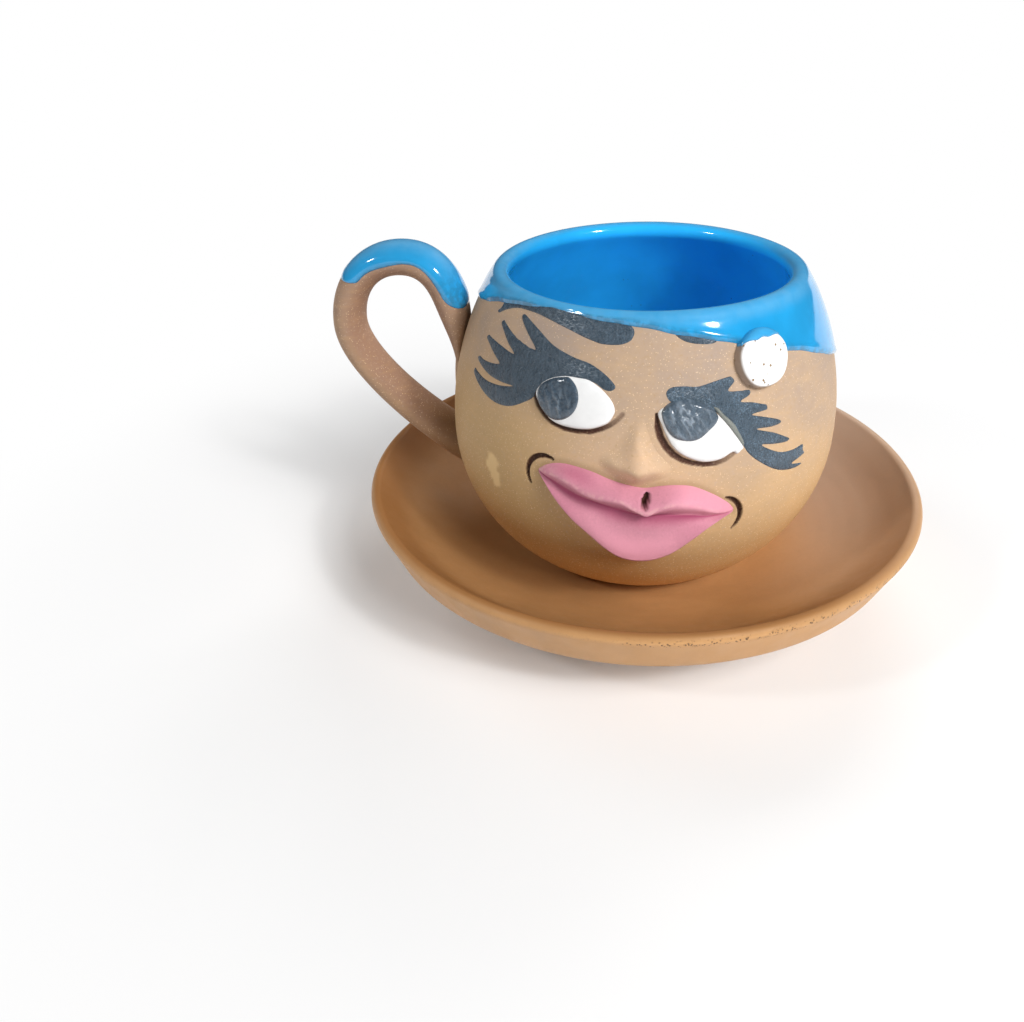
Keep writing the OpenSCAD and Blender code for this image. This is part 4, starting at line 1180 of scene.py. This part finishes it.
class CLAYCUP_OT_handle(bpy.types.Operator):
    """Build the looped strap handle and the glaze on its crown"""
    bl_idname = "claycup.handle"
    bl_label = "Handle"

    def execute(self, context):
        settings = context.scene.clay_cup
        wall = CupWall(settings)
        strap = Strap(settings, wall)
        around = np.linspace(0.0, 2 * math.pi, 56, endpoint=False)
        # The smear on the wall from its thin end up, then the strap along its three bends
        smears, stops = 24, 133
        rows = [strap.smear(wall, t, around) for t in np.linspace(1.0, 0.0, smears, endpoint=False)]
        rows += [strap.point(s, around) for s in np.linspace(0.0, 3.0, stops)]
        rows = [rows[0].mean(axis=0, keepdims=True)] + rows + [rows[-1].mean(axis=0, keepdims=True)]
        points, faces = turned_solid(rows, len(around))
        z = points[:, 2]
        row = np.arange(len(points)) / len(around)
        gap = np.hypot(points[:, 0], points[:, 1]) - wall.radius(z)
        fade = np.where(row < smears + 1, smooth(strap.top_z - 8.0, strap.top_z, z), 1.0)
        # Painted shade at the two roots, widest at the lower one, and redder clay on the inside of the loop
        dirt = 0.8 * smooth(1.6, 0.1, gap) * smooth(20.0, 30.0, z) + smooth(7.0, 0.5, gap) * (z < 34)
        dirt *= smooth(10.0, 60.0, row)
        inner = np.concatenate([[0.0], np.tile(smooth(0.1, -0.5, np.cos(around)), smears + stops), [0.0]])
        mesh_object("handle_strap", points, faces, "dry_clay", ["handle"],
                    marks={"dirt": np.clip(dirt, 0.0, 1.0), "fired": (0.65 + 0.3 * inner) * fade})
        self.coat(settings, strap)
        return {"FINISHED"}

    @staticmethod
    def coat(settings, strap):
        coat = settings.glaze.thickness / MM
        stations = np.linspace(0.33, 1.57, 76)
        columns = np.linspace(-1.0, 1.0, 45)
        off = np.abs(columns)
        from_edge = (1 - off) * 7.0
        top, under, edge, thin = [], [], [], []
        for i, s in enumerate(stations):
            # Half the angle round the strap that the glaze covers, in degrees, which closes at both ends
            ragged = 92 + 5 * math.sin(5.3 * s + 0.7) + 3 * math.sin(13.0 * s)
            closing = min(1.0, (i + 0.6) / 9.0, (len(stations) - i - 0.4) / 9.0)
            a = np.radians(ragged * math.sqrt(1 - (1 - closing) ** 2)) * columns
            along = min(s - stations[0], stations[-1] - s) * 18.0
            depth = 0.85 * coat * rounded(np.minimum(from_edge, along + 0.1), 1.1)
            top.append(strap.point(s, a, depth - 0.015))
            under.append(strap.point(s, a, -TUCK))
            bare = smooth(0.8, 0.1, np.minimum(from_edge, along))
            # Darker glaze toward the upper root: clay showing under thin glaze, and painted shade by the wall
            edge.append(np.maximum(bare, 0.85 * smooth(0.72, 0.38, s)))
            # Paler glaze along the crown's top: milky glaze and painted reflection of the light above
            thin.append(0.08 + 0.75 * smooth(0.70, 0.1, off) * smooth(0.45, 0.75, s))
        points, faces = closed_sheet(np.array(top), np.array(under))
        mesh_object("handle_glaze_coat", points, faces, "dip_glaze", ["handle_glaze"],
                    marks=both_sides(thin=thin, edge=edge))


class CLAYCUP_OT_nose(bpy.types.Operator):
    """Model the nose out of the wall"""
    bl_idname = "claycup.nose"
    bl_label = "Nose"

    def execute(self, context):
        settings = context.scene.clay_cup
        wall = CupWall(settings)
        out = settings.face.nose_out / MM
        turns = np.linspace(-14.0, 14.5, 110)
        heights = np.linspace(wall.below(24.2), wall.below(6.8), 100)
        turn, z = np.meshgrid(turns, heights)
        u = wall.radius(z) * np.radians(turn - NOSE_TURN)
        base = wall.below(23.6) + 0.32 * np.sqrt(u ** 2 + 0.3)
        spread = 1.5 + 1.3 * smooth(wall.below(13.0), wall.below(21.0), z)
        # Bridge, tip and two wings, which end at a curved foot and keep clear of the lines under the eyes
        bridge = 0.42 * out * smooth(wall.below(11.0), wall.below(20.0), z) * hump(u, 0.3, spread)
        tip = 0.32 * out * hump(u, 0.0, 2.4) * hump(z, wall.below(21.2), 2.2)
        wings = 0.22 * out * sum(hump(u, side, 1.7) for side in (-3.5, 3.5)) * hump(z, wall.below(21.0), 1.7)
        foot = smooth(base - 1.0, base + 2.6, z)
        bump = (bridge + tip + wings) * foot
        flat = wall.point(turn, z, 0.0).reshape(-1, 3)
        for place, line in ((LEFT_EYE, LEFT_LINE), (RIGHT_EYE, RIGHT_LINE)):
            across, up, _ = board_at(wall, place).places(flat)
            bump = bump * smooth(0.9, 3.8, line_distance(across, up, line)[0]).reshape(z.shape)
        lift = bump - 0.06 - 1.2 * smooth(0.03, 0.0, bump)
        points, faces = closed_sheet(wall.point(turn, z, lift), wall.point(turn, z, -1.6))
        # Painted shade below the nose's foot; painted light in the middle of the face, brightest where the
        # nose stands out
        dirt = 0.35 * smooth(base + 1.0, base - 0.2, z) * smooth(6.5, 2.5, np.abs(u))
        warm, pale = painted_light_and_shade(turn, z)
        mesh_object("nose_modelled", points, faces, "dry_clay", ["nose"],
                    marks=both_sides(dirt=dirt, warm=warm, pale=pale + 0.3 * smooth(0.5, 1.6, bump)))
        return {"FINISHED"}


class CLAYCUP_OT_lips(bpy.types.Operator):
    """Model the upper lip with its two lobes and the broad lower lip"""
    bl_idname = "claycup.lips"
    bl_label = "Lips"

    def execute(self, context):
        settings = context.scene.clay_cup
        wall = CupWall(settings)
        out = settings.face.lips_out / MM
        first, last = LIP_TOP[0][0], LIP_TOP[-1][0]
        share = (1 - np.cos(np.linspace(0.02, math.pi - 0.02, 171))) / 2
        turn = (first + (last - first) * share)[:, None]
        top, ridge, seam, low = lip_edges(wall, turn)
        pout = np.maximum(4 * share * (1 - share), 0.0)[:, None] ** 0.75
        # Upper lip: from its top edge to its ridge, then folded in to the seam
        s = np.concatenate([[0.0, 0.02, 0.05, 0.09], np.linspace(0.14, 0.90, 25), [0.94, 0.97, 1.0]])[None, :]
        fold = np.concatenate([[0.04, 0.10], np.linspace(0.18, 1.0, 14)])[None, :]
        lump = hump(turn, 2.6, 1.8)
        peak = 0.72 * out * pout + 0.25 * lump
        slope = 0.06 * smooth(0.0, 0.1, s) + 0.94 * np.sin(s * math.pi / 2) ** 1.15
        slit = smooth(1.15, 0.75, ((turn - SLIT_TURN - 0.7 + 1.2 * s) / 0.85) ** 2 + ((s - 0.48) / 0.33) ** 2)
        lift = np.concatenate([peak * slope * (1 - 0.75 * slit),
                               peak * (1 - 0.48 * smooth(0.0, 1.0, fold))], axis=1)
        z = np.concatenate([top + (ridge - top) * s, ridge + (seam - 0.1 - ridge) * fold], axis=1)
        flat = np.zeros_like(turn * fold)
        # Upper lip: rubbed slip at the left end and a painted highlight along the ridge make it paler;
        # painted shade darkens the left of its top face and its folded under-face; painted light brightens
        # its right half
        worn = 0.7 * hump(s, 0.92, 0.12) + 0.8 * smooth(-19.0, -25.0, turn)
        painted_left_shade = 0.42 * hump(turn, -15.0, 5.0) * hump(s, 0.35, 0.35)
        shade_in = flat + 0.35 * fold + 0.65 * smooth(0.35, 0.9, fold)
        self.lip(wall, "upper_lip_modelled", "upper_lip", turn, z, lift,
                 slit=np.concatenate([slit, flat], axis=1),
                 worn=np.concatenate([worn, flat], axis=1),
                 pale=0.6 * smooth(6.0, 14.0, turn),
                 deep=np.concatenate([0.08 + painted_left_shade, shade_in], axis=1))
        # Lower lip: from the seam to its low edge
        s = np.concatenate([np.linspace(0.0, 0.90, 30), [0.93, 0.955, 0.975, 0.99, 1.0]])[None, :]
        z = seam + 0.1 + (low - seam - 0.1) * s
        belly = 0.38 + 0.46 * smooth(0.0, 0.95, s)
        edge = rounded(1 - s, 0.07)
        lift = out * pout * belly * edge
        # Lower lip: painted shade near the seam and at both sides, painted light in its middle, and rubbed
        # slip with a painted highlight along its low edge
        sides = 0.18 * smooth(6.0, 16.0, turn) + 0.22 * smooth(-8.0, -18.0, turn)
        self.lip(wall, "lower_lip_modelled", "lower_lip", turn, z, lift, slit=0.0, worn=hump(s, 0.94, 0.04),
                 pale=0.8 * hump(turn, 0.0, 9.0) * smooth(0.3, 0.7, s),
                 deep=0.95 * smooth(0.42, 0.0, s) ** 1.3 + sides)
        return {"FINISHED"}

    @staticmethod
    def lip(wall, name, node, turn, z, lift, **marks):
        turn, z, lift = np.broadcast_arrays(turn, z, lift)
        flat = wall.point(turn, z, 0.0).reshape(-1, 3)
        lift = lift + 0.07 * cloudy(flat, 4.0, 3).reshape(z.shape) * smooth(0.2, 1.0, lift)
        points, faces = closed_sheet(wall.point(turn, z, lift - 0.08), wall.point(turn, z, -0.6))
        marks = {k: np.broadcast_to(np.clip(v, 0.0, 1.0), z.shape) for k, v in marks.items()}
        mesh_object(name, points, faces, "pink_slip", [node], marks=both_sides(**marks))


class CLAYCUP_OT_eyes(bpy.types.Operator):
    """Lay the whites of the eyes on the wall, and the pupils on the whites"""
    bl_idname = "claycup.eyes"
    bl_label = "Eyes"
    # Folds of each pupil: depth, seed, dull and bright shine, and the middle and the reach of the folded part
    folds = {"left": (0.12, 5, 0.02, 0.45, -2.5, -0.8, 1.9), "right": (0.24, 8, 0.16, 0.55, -1.7, 1.0, 3.4)}

    def execute(self, context):
        settings = context.scene.clay_cup
        wall = CupWall(settings)
        paint = settings.face.paint / MM
        left = closed_curve(LEFT_WHITE)
        for side, place, outline, disc in (
                ("left", LEFT_EYE, left, disc_inside(left, (-3.05, 0.0), 3.45)),
                ("right", RIGHT_EYE, closed_curve(RIGHT_WHITE), closed_curve(RIGHT_PUPIL))):
            board = board_at(wall, place)
            flat, triangles, inward = fill_outline(outline, 0.4)
            white = self.white(paint, inward)
            top = board.lay(flat, white)
            under = board.lay(flat, -TUCK)
            points, faces = closed_patch(top, under, triangles)
            side_wall = 0.6 * smooth(0.16, 0.02, inward) * smooth(0.0, -2.0, flat[:, 1])
            mesh_object(side + "_eye_white", points, faces, "white_slip", [side + "_eye"],
                        marks=both_sides(bare=side_wall))
            # Drop of paint on the white, dried in wavy folds
            flat, triangles, inward = fill_outline(disc, 0.22)
            base = self.white(paint, np.maximum(edge_distance(flat, outline), 0.0))
            deep, seed, dull, bright, u0, v0, reach = self.folds[side]
            u, v = flat.T
            drawn = np.stack([u + 0.5 * v, 0.55 * v, 0 * u], axis=-1)
            wave = np.sin(3.8 * (u + 0.3 * v) + 4.5 * cloudy(drawn, 1.5, seed))
            ripple = smooth(0.35, 1.0, wave) * hump(np.hypot(u - u0, v - v0), 0.0, reach)
            thick = paint * 1.1 * rounded(inward, 0.4) + deep * ripple * smooth(0.1, 0.9, inward)
            top = board.lay(flat, base + thick)
            under = board.lay(flat, base - 0.08)
            points, faces = closed_patch(top, under, triangles)
            # Painted highlight: pale shine over the pupil, strongest where the folds rise
            mesh_object(side + "_pupil_drop", points, faces, "wet_pupil", [side + "_pupil"],
                        marks=both_sides(sheen=dull + bright * ripple))
        return {"FINISHED"}

    @staticmethod
    def white(paint, inward):
        """Height of the white slip at a distance inside its edge."""
        return paint * rounded(inward, 0.35) + 0.35 * (1 - np.exp(-inward / 1.6))


class CLAYCUP_OT_lashes(bpy.types.Operator):
    """Paint the lashes, and the faded streak on the right lid"""
    bl_idname = "claycup.lashes"
    bl_label = "Lashes"

    def execute(self, context):
        settings = context.scene.clay_cup
        wall = CupWall(settings)
        paint = settings.face.paint / MM
        # Painted sheen on the strokes: faint on the left lashes, strong on the right lashes, none on the
        # streak
        for name, place, shape, nodes, thick, dusty, faded in (
                ("left_lash_paint", LEFT_EYE, LEFT_LASHES, ["left_lashes"], paint * 0.4, 0.25, 0.0),
                ("right_lash_paint", RIGHT_EYE, RIGHT_LASHES, ["right_lashes"], paint * 0.5, 0.8, 0.0),
                ("right_lid_streak", RIGHT_EYE, LID_STREAK, [], paint * 1.5, 0.0, 0.85)):
            board = board_at(wall, place)
            outline = closed_curve(shape)
            flat, triangles, inward = fill_outline(outline, 0.45)
            lift = thick * rounded(inward, 0.25) - 0.02
            under = board.lay(flat, -TUCK)
            lift += 0.03 * cloudy(under, 0.7, 11) * smooth(0.1, 0.6, inward)
            points, faces = closed_patch(board.lay(flat, lift), under, triangles)
            # Painted glints on the lashes above each pupil
            wet = 0.9 * hump(flat[:, 0], -0.6, 2.8) * hump(flat[:, 1], 4.6, 1.4) * (1 - faded)
            mesh_object(name, points, faces, "charcoal_paint", nodes,
                        marks=both_sides(dusty=0 * wet + dusty, faded=0 * wet + faded, wet=wet))
        return {"FINISHED"}


class CLAYCUP_OT_brows(bpy.types.Operator):
    """Paint the brows up to and under the glaze"""
    bl_idname = "claycup.brows"
    bl_label = "Brows"
    # Millimetres that a degree of turn measures along the brows
    degree = 0.47

    def execute(self, context):
        settings = context.scene.clay_cup
        wall = CupWall(settings)
        paint = settings.face.paint / MM
        for node, shape in (("left_brow", LEFT_BROW), ("right_brow", RIGHT_BROW)):
            drawn = closed_curve(shape)
            outline = drawn * (self.degree, -1.0)
            flat, triangles, inward = fill_outline(outline, 0.4)
            turn = flat[:, 0] / self.degree
            z = wall.below(-flat[:, 1])
            under = wall.point(turn, z, -TUCK)
            lift = 0.6 * paint * rounded(inward, 0.3) - 0.02
            lift += 0.03 * cloudy(under, 0.8, 13) * smooth(0.1, 0.5, inward)
            lift -= 0.4 * smooth(-0.1, 0.35, z - wall.dip_line(turn))
            points, faces = closed_patch(wall.point(turn, z, np.maximum(lift, -0.05)), under, triangles)
            # Painted sheen along the brows, and painted glints near the middle of the left brow and the outer
            # end of the right one
            mesh_object(node + "_paint", points, faces, "charcoal_paint", [node],
                        marks=both_sides(dusty=0 * turn + 0.4,
                                         wet=0.9 * hump(turn, -24.0, 6.5) + 0.9 * hump(turn, 22.0, 4.0)))
        return {"FINISHED"}


class CLAYCUP_OT_button(bpy.types.Operator):
    """Press the clay button on the forehead and lay the glaze over its top"""
    bl_idname = "claycup.button"
    bl_label = "Button"
    # Radius of the pellet's rounded edge, and shares of the way to its foot on its top and round that edge
    edge, top_share, edge_share = 0.7, 0.62, 0.22
    # Height above the pellet's middle at which the glaze ends
    glaze_line = 3.0

    def execute(self, context):
        settings = context.scene.clay_cup
        wall = CupWall(settings)
        board = board_at(wall, BUTTON)
        self.r = settings.face.button / MM / 2
        self.high = settings.face.button_out / MM
        angles = np.linspace(0.0, 2 * math.pi, 96, endpoint=False)
        path = np.concatenate([np.linspace(0.0, self.top_share, 12), np.linspace(0.66, 1.0, 18)])
        rows = [self.place(board, angles, p, 0.0) for p in path]
        rows[0] = rows[0].mean(axis=0, keepdims=True)
        rows.append(rows[-1].mean(axis=0, keepdims=True) - TUCK * board.out)
        points, faces = turned_solid(rows, len(angles))
        shares = smooth(0.71, 0.80, np.array([*path, 1.0]))
        bare = np.concatenate([np.full(len(row), share) for row, share in zip(rows, shares)])
        mesh_object("button_pellet", points, faces, "white_slip", ["button"],
                    marks={"pitted": np.ones(len(points)), "bare": bare})
        self.coat(settings, board)
        return {"FINISHED"}

    def place(self, board, a, p, out):
        """Point on the pellet at an angle and a place from its middle, 0, to its foot in the wall, 1."""
        a = np.asarray(a, float)
        p = np.broadcast_to(p, a.shape)
        foot = 1 - self.top_share - self.edge_share
        r = self.r * (1 + 0.018 * np.sin(2 * a + 0.6) + 0.012 * np.sin(5 * a) - 0.02)
        flat = np.clip(p / self.top_share, 0.0, 1.0)
        bend = np.clip((p - self.top_share) / self.edge_share, 0.0, 1.0) * math.pi / 2
        down = np.clip((p - 1 + foot) / foot, 0.0, 1.0) * 2.6
        rho = (r - self.edge) * flat + (self.edge + out) * np.sin(bend)
        tall = self.high - self.edge - down + (self.edge + out) * np.cos(bend) - 0.10 * flat ** 2
        tall = tall + 0.05 * np.sin(3 * a + 4 * flat) * flat * (1 - flat)
        return (board.origin + (rho * np.cos(a))[..., None] * board.across
                + (rho * np.sin(a))[..., None] * board.up + tall[..., None] * board.out)

    def coat(self, settings, board):
        coat = settings.glaze.thickness / MM
        columns = np.linspace(-1.0, 1.0, 61)
        spread = math.acos(min(1.0, self.glaze_line / (self.r * 1.04)))
        angles = math.pi / 2 + spread * 1.12 * columns
        rho = self.glaze_line / np.maximum(np.sin(angles), 0.05) + 0.10 * np.sin(angles * 9)
        rho = np.clip(rho, 0.0, self.r * 1.1)
        start = np.clip(rho / (self.r - self.edge) * self.top_share, 0.0, 0.80)[:, None]
        share = np.concatenate([[0.0, 0.02, 0.05, 0.1], np.linspace(0.17, 1.0, 20)])
        p = start + (0.97 - start) * share
        a = np.repeat(angles[:, None], len(share), axis=1)
        along = (p - start) * 9.0
        side = (1 - np.abs(columns))[:, None] * 6.0
        depth = coat * 0.6 * rounded(np.minimum(along, side), 0.5)
        points, faces = closed_sheet(self.place(board, a, p, depth - 0.02), self.place(board, a, p, -0.08))
        edge = smooth(0.6, 0.1, np.minimum(along, side))
        mesh_object("button_glaze_coat", points, faces, "dip_glaze", ["button_glaze"],
                    marks=both_sides(thin=0 * edge + 0.35, edge=0.8 * edge))


class CLAYCUP_OT_stage(bpy.types.Operator):
    """Set the floor, the lights and the camera"""
    bl_idname = "claycup.stage"
    bl_label = "Stage"
    # Lights: setting that holds the power, place, width, and whether the light shows as a highlight
    lights = (("key", (0.345, -0.315, 0.41), 0.34, False), ("spark", (0.362, -0.304, 0.40), 0.08, True),
              ("side", (-0.48, 0.25, 0.28), 0.34, False), ("fill", (-0.40, -0.26, 0.39), 0.07, True),
              ("back", (0.13, 0.50, 0.33), 0.34, False))
    aim = (0.0, 0.0, 0.03)
    # Camera fitted to the photograph
    camera_place = (0.0, -0.14562, 0.10106)
    camera_right = (0.9885, 0.1474, -0.0333)
    camera_up = (-0.0523, 0.5402, 0.8400)

    def execute(self, context):
        scene = context.scene
        stage = scene.clay_cup.stage
        scene.view_settings.view_transform = "Standard"
        self.floor(scene)
        self.room(scene, stage.room)
        for name, place, width, glossy in self.lights:
            self.lamp(scene, name + "_light", place, width, getattr(stage, name)).visible_glossy = glossy
        self.camera(scene, stage.lens)
        return {"FINISHED"}

    def camera(self, scene, focal):
        lens = bpy.data.cameras.new("photo_camera")
        lens.sensor_fit = "HORIZONTAL"
        lens.sensor_width = 36.0
        lens.lens = focal
        lens.clip_start = 0.01
        camera = bpy.data.objects.new("photo_camera", lens)
        right = Vector(self.camera_right)
        back = right.cross(Vector(self.camera_up)).normalized()
        up = back.cross(right).normalized()
        turned = Matrix((up.cross(back), up, back)).transposed().to_4x4()
        camera.matrix_world = Matrix.Translation(self.camera_place) @ turned
        scene.collection.objects.link(camera)
        scene.camera = camera

    def lamp(self, scene, name, place, width, power):
        light = bpy.data.lights.new(name, "AREA")
        light.shape = "DISK"
        light.size = width
        light.energy = power
        lamp = bpy.data.objects.new(name, light)
        lamp.location = place
        lamp.rotation_euler = (Vector(self.aim) - Vector(place)).to_track_quat("-Z", "Y").to_euler()
        scene.collection.objects.link(lamp)
        return lamp

    @staticmethod
    def room(scene, strength):
        world = bpy.data.worlds.new("room_light")
        scene.world = world
        world.use_nodes = True
        tree = world.node_tree
        ground = tree.nodes["Background"]
        ground.inputs["Color"].default_value = (1.0, 1.0, 1.0, 1.0)
        path = tree.nodes.new("ShaderNodeLightPath")
        seen = tree.nodes.new("ShaderNodeMapRange")
        tree.links.new(path.outputs["Is Camera Ray"], seen.inputs["Value"])
        seen.inputs["To Min"].default_value = strength
        seen.inputs["To Max"].default_value = 1.0
        tree.links.new(seen.outputs[0], ground.inputs["Strength"])

    @staticmethod
    def floor(scene):
        mesh = bpy.data.meshes.new("studio_floor")
        half = 4.0
        corners = [(-half, -half, 0), (half, -half, 0), (half, half, 0), (-half, half, 0)]
        mesh.from_pydata(corners, [], [(0, 1, 2, 3)])
        floor = bpy.data.objects.new("studio_floor", mesh)
        scene.collection.objects.link(floor)
        f = Finish("studio_floor")
        f.base((0.90, 0.90, 0.90))
        f.set(roughness=0.9)
        f.put(f.shader.inputs["Specular IOR Level"], 0.0)
        away = f.add("VectorMath", operation="LENGTH")
        f.put(away.inputs[0], f.places)
        path = f.add("LightPath")
        seen = f.sum("MAXIMUM", path.outputs["Is Camera Ray"], path.outputs["Is Glossy Ray"])
        seen = f.sum("MAXIMUM", seen, path.outputs["Is Transmission Ray"])
        bright = f.add("Emission")
        far = f.times(f.span(away.outputs["Value"], 0.055, 0.16, 0.12, 1.0), seen)
        blend = f.add("MixShader")
        f.put(blend.inputs[0], far)
        f.tree.links.new(f.shader.outputs[0], blend.inputs[1])
        f.tree.links.new(bright.outputs[0], blend.inputs[2])
        f.tree.links.new(blend.outputs[0], f.tree.nodes["Material Output"].inputs["Surface"])
        mesh.materials.append(f.material)


class CLAYCUP_PT_panel(bpy.types.Panel):
    """Lists the pieces of the cup and their sizes"""
    bl_idname = "CLAYCUP_PT_panel"
    bl_label = "Clay face cup"
    bl_space_type = "VIEW_3D"
    bl_region_type = "UI"
    bl_category = "Clay cup"

    def draw(self, context):
        settings = context.scene.clay_cup
        for group in ("cup", "glaze", "handle", "saucer", "face", "finish", "stage"):
            box = self.layout.box()
            box.label(text=group.capitalize())
            part = getattr(settings, group)
            for name in part.__annotations__:
                box.prop(part, name)
        for piece in PIECES:
            self.layout.operator(piece.bl_idname)


PIECES = (CLAYCUP_OT_saucer, CLAYCUP_OT_cup_body, CLAYCUP_OT_cup_glaze, CLAYCUP_OT_handle,
          CLAYCUP_OT_nose, CLAYCUP_OT_lips, CLAYCUP_OT_eyes, CLAYCUP_OT_lashes, CLAYCUP_OT_brows,
          CLAYCUP_OT_button, CLAYCUP_OT_stage)
GROUPS = (CupSizes, GlazeSizes, HandleSizes, SaucerSizes, FaceSizes, Finishes, StageSettings, ClayCupSettings)


def register():
    for kind in GROUPS + PIECES + (CLAYCUP_PT_panel,):
        bpy.utils.register_class(kind)
    bpy.types.Scene.clay_cup = PointerProperty(type=ClayCupSettings)


def unregister():
    del bpy.types.Scene.clay_cup
    for kind in reversed(GROUPS + PIECES + (CLAYCUP_PT_panel,)):
        bpy.utils.unregister_class(kind)


def main():
    register()
    bpy.ops.claycup.saucer()
    bpy.ops.claycup.cup_body()
    bpy.ops.claycup.cup_glaze()
    bpy.ops.claycup.handle()
    bpy.ops.claycup.nose()
    bpy.ops.claycup.lips()
    bpy.ops.claycup.eyes()
    bpy.ops.claycup.lashes()
    bpy.ops.claycup.brows()
    bpy.ops.claycup.button()
    bpy.ops.claycup.stage()


if __name__ == "__main__":
    main()
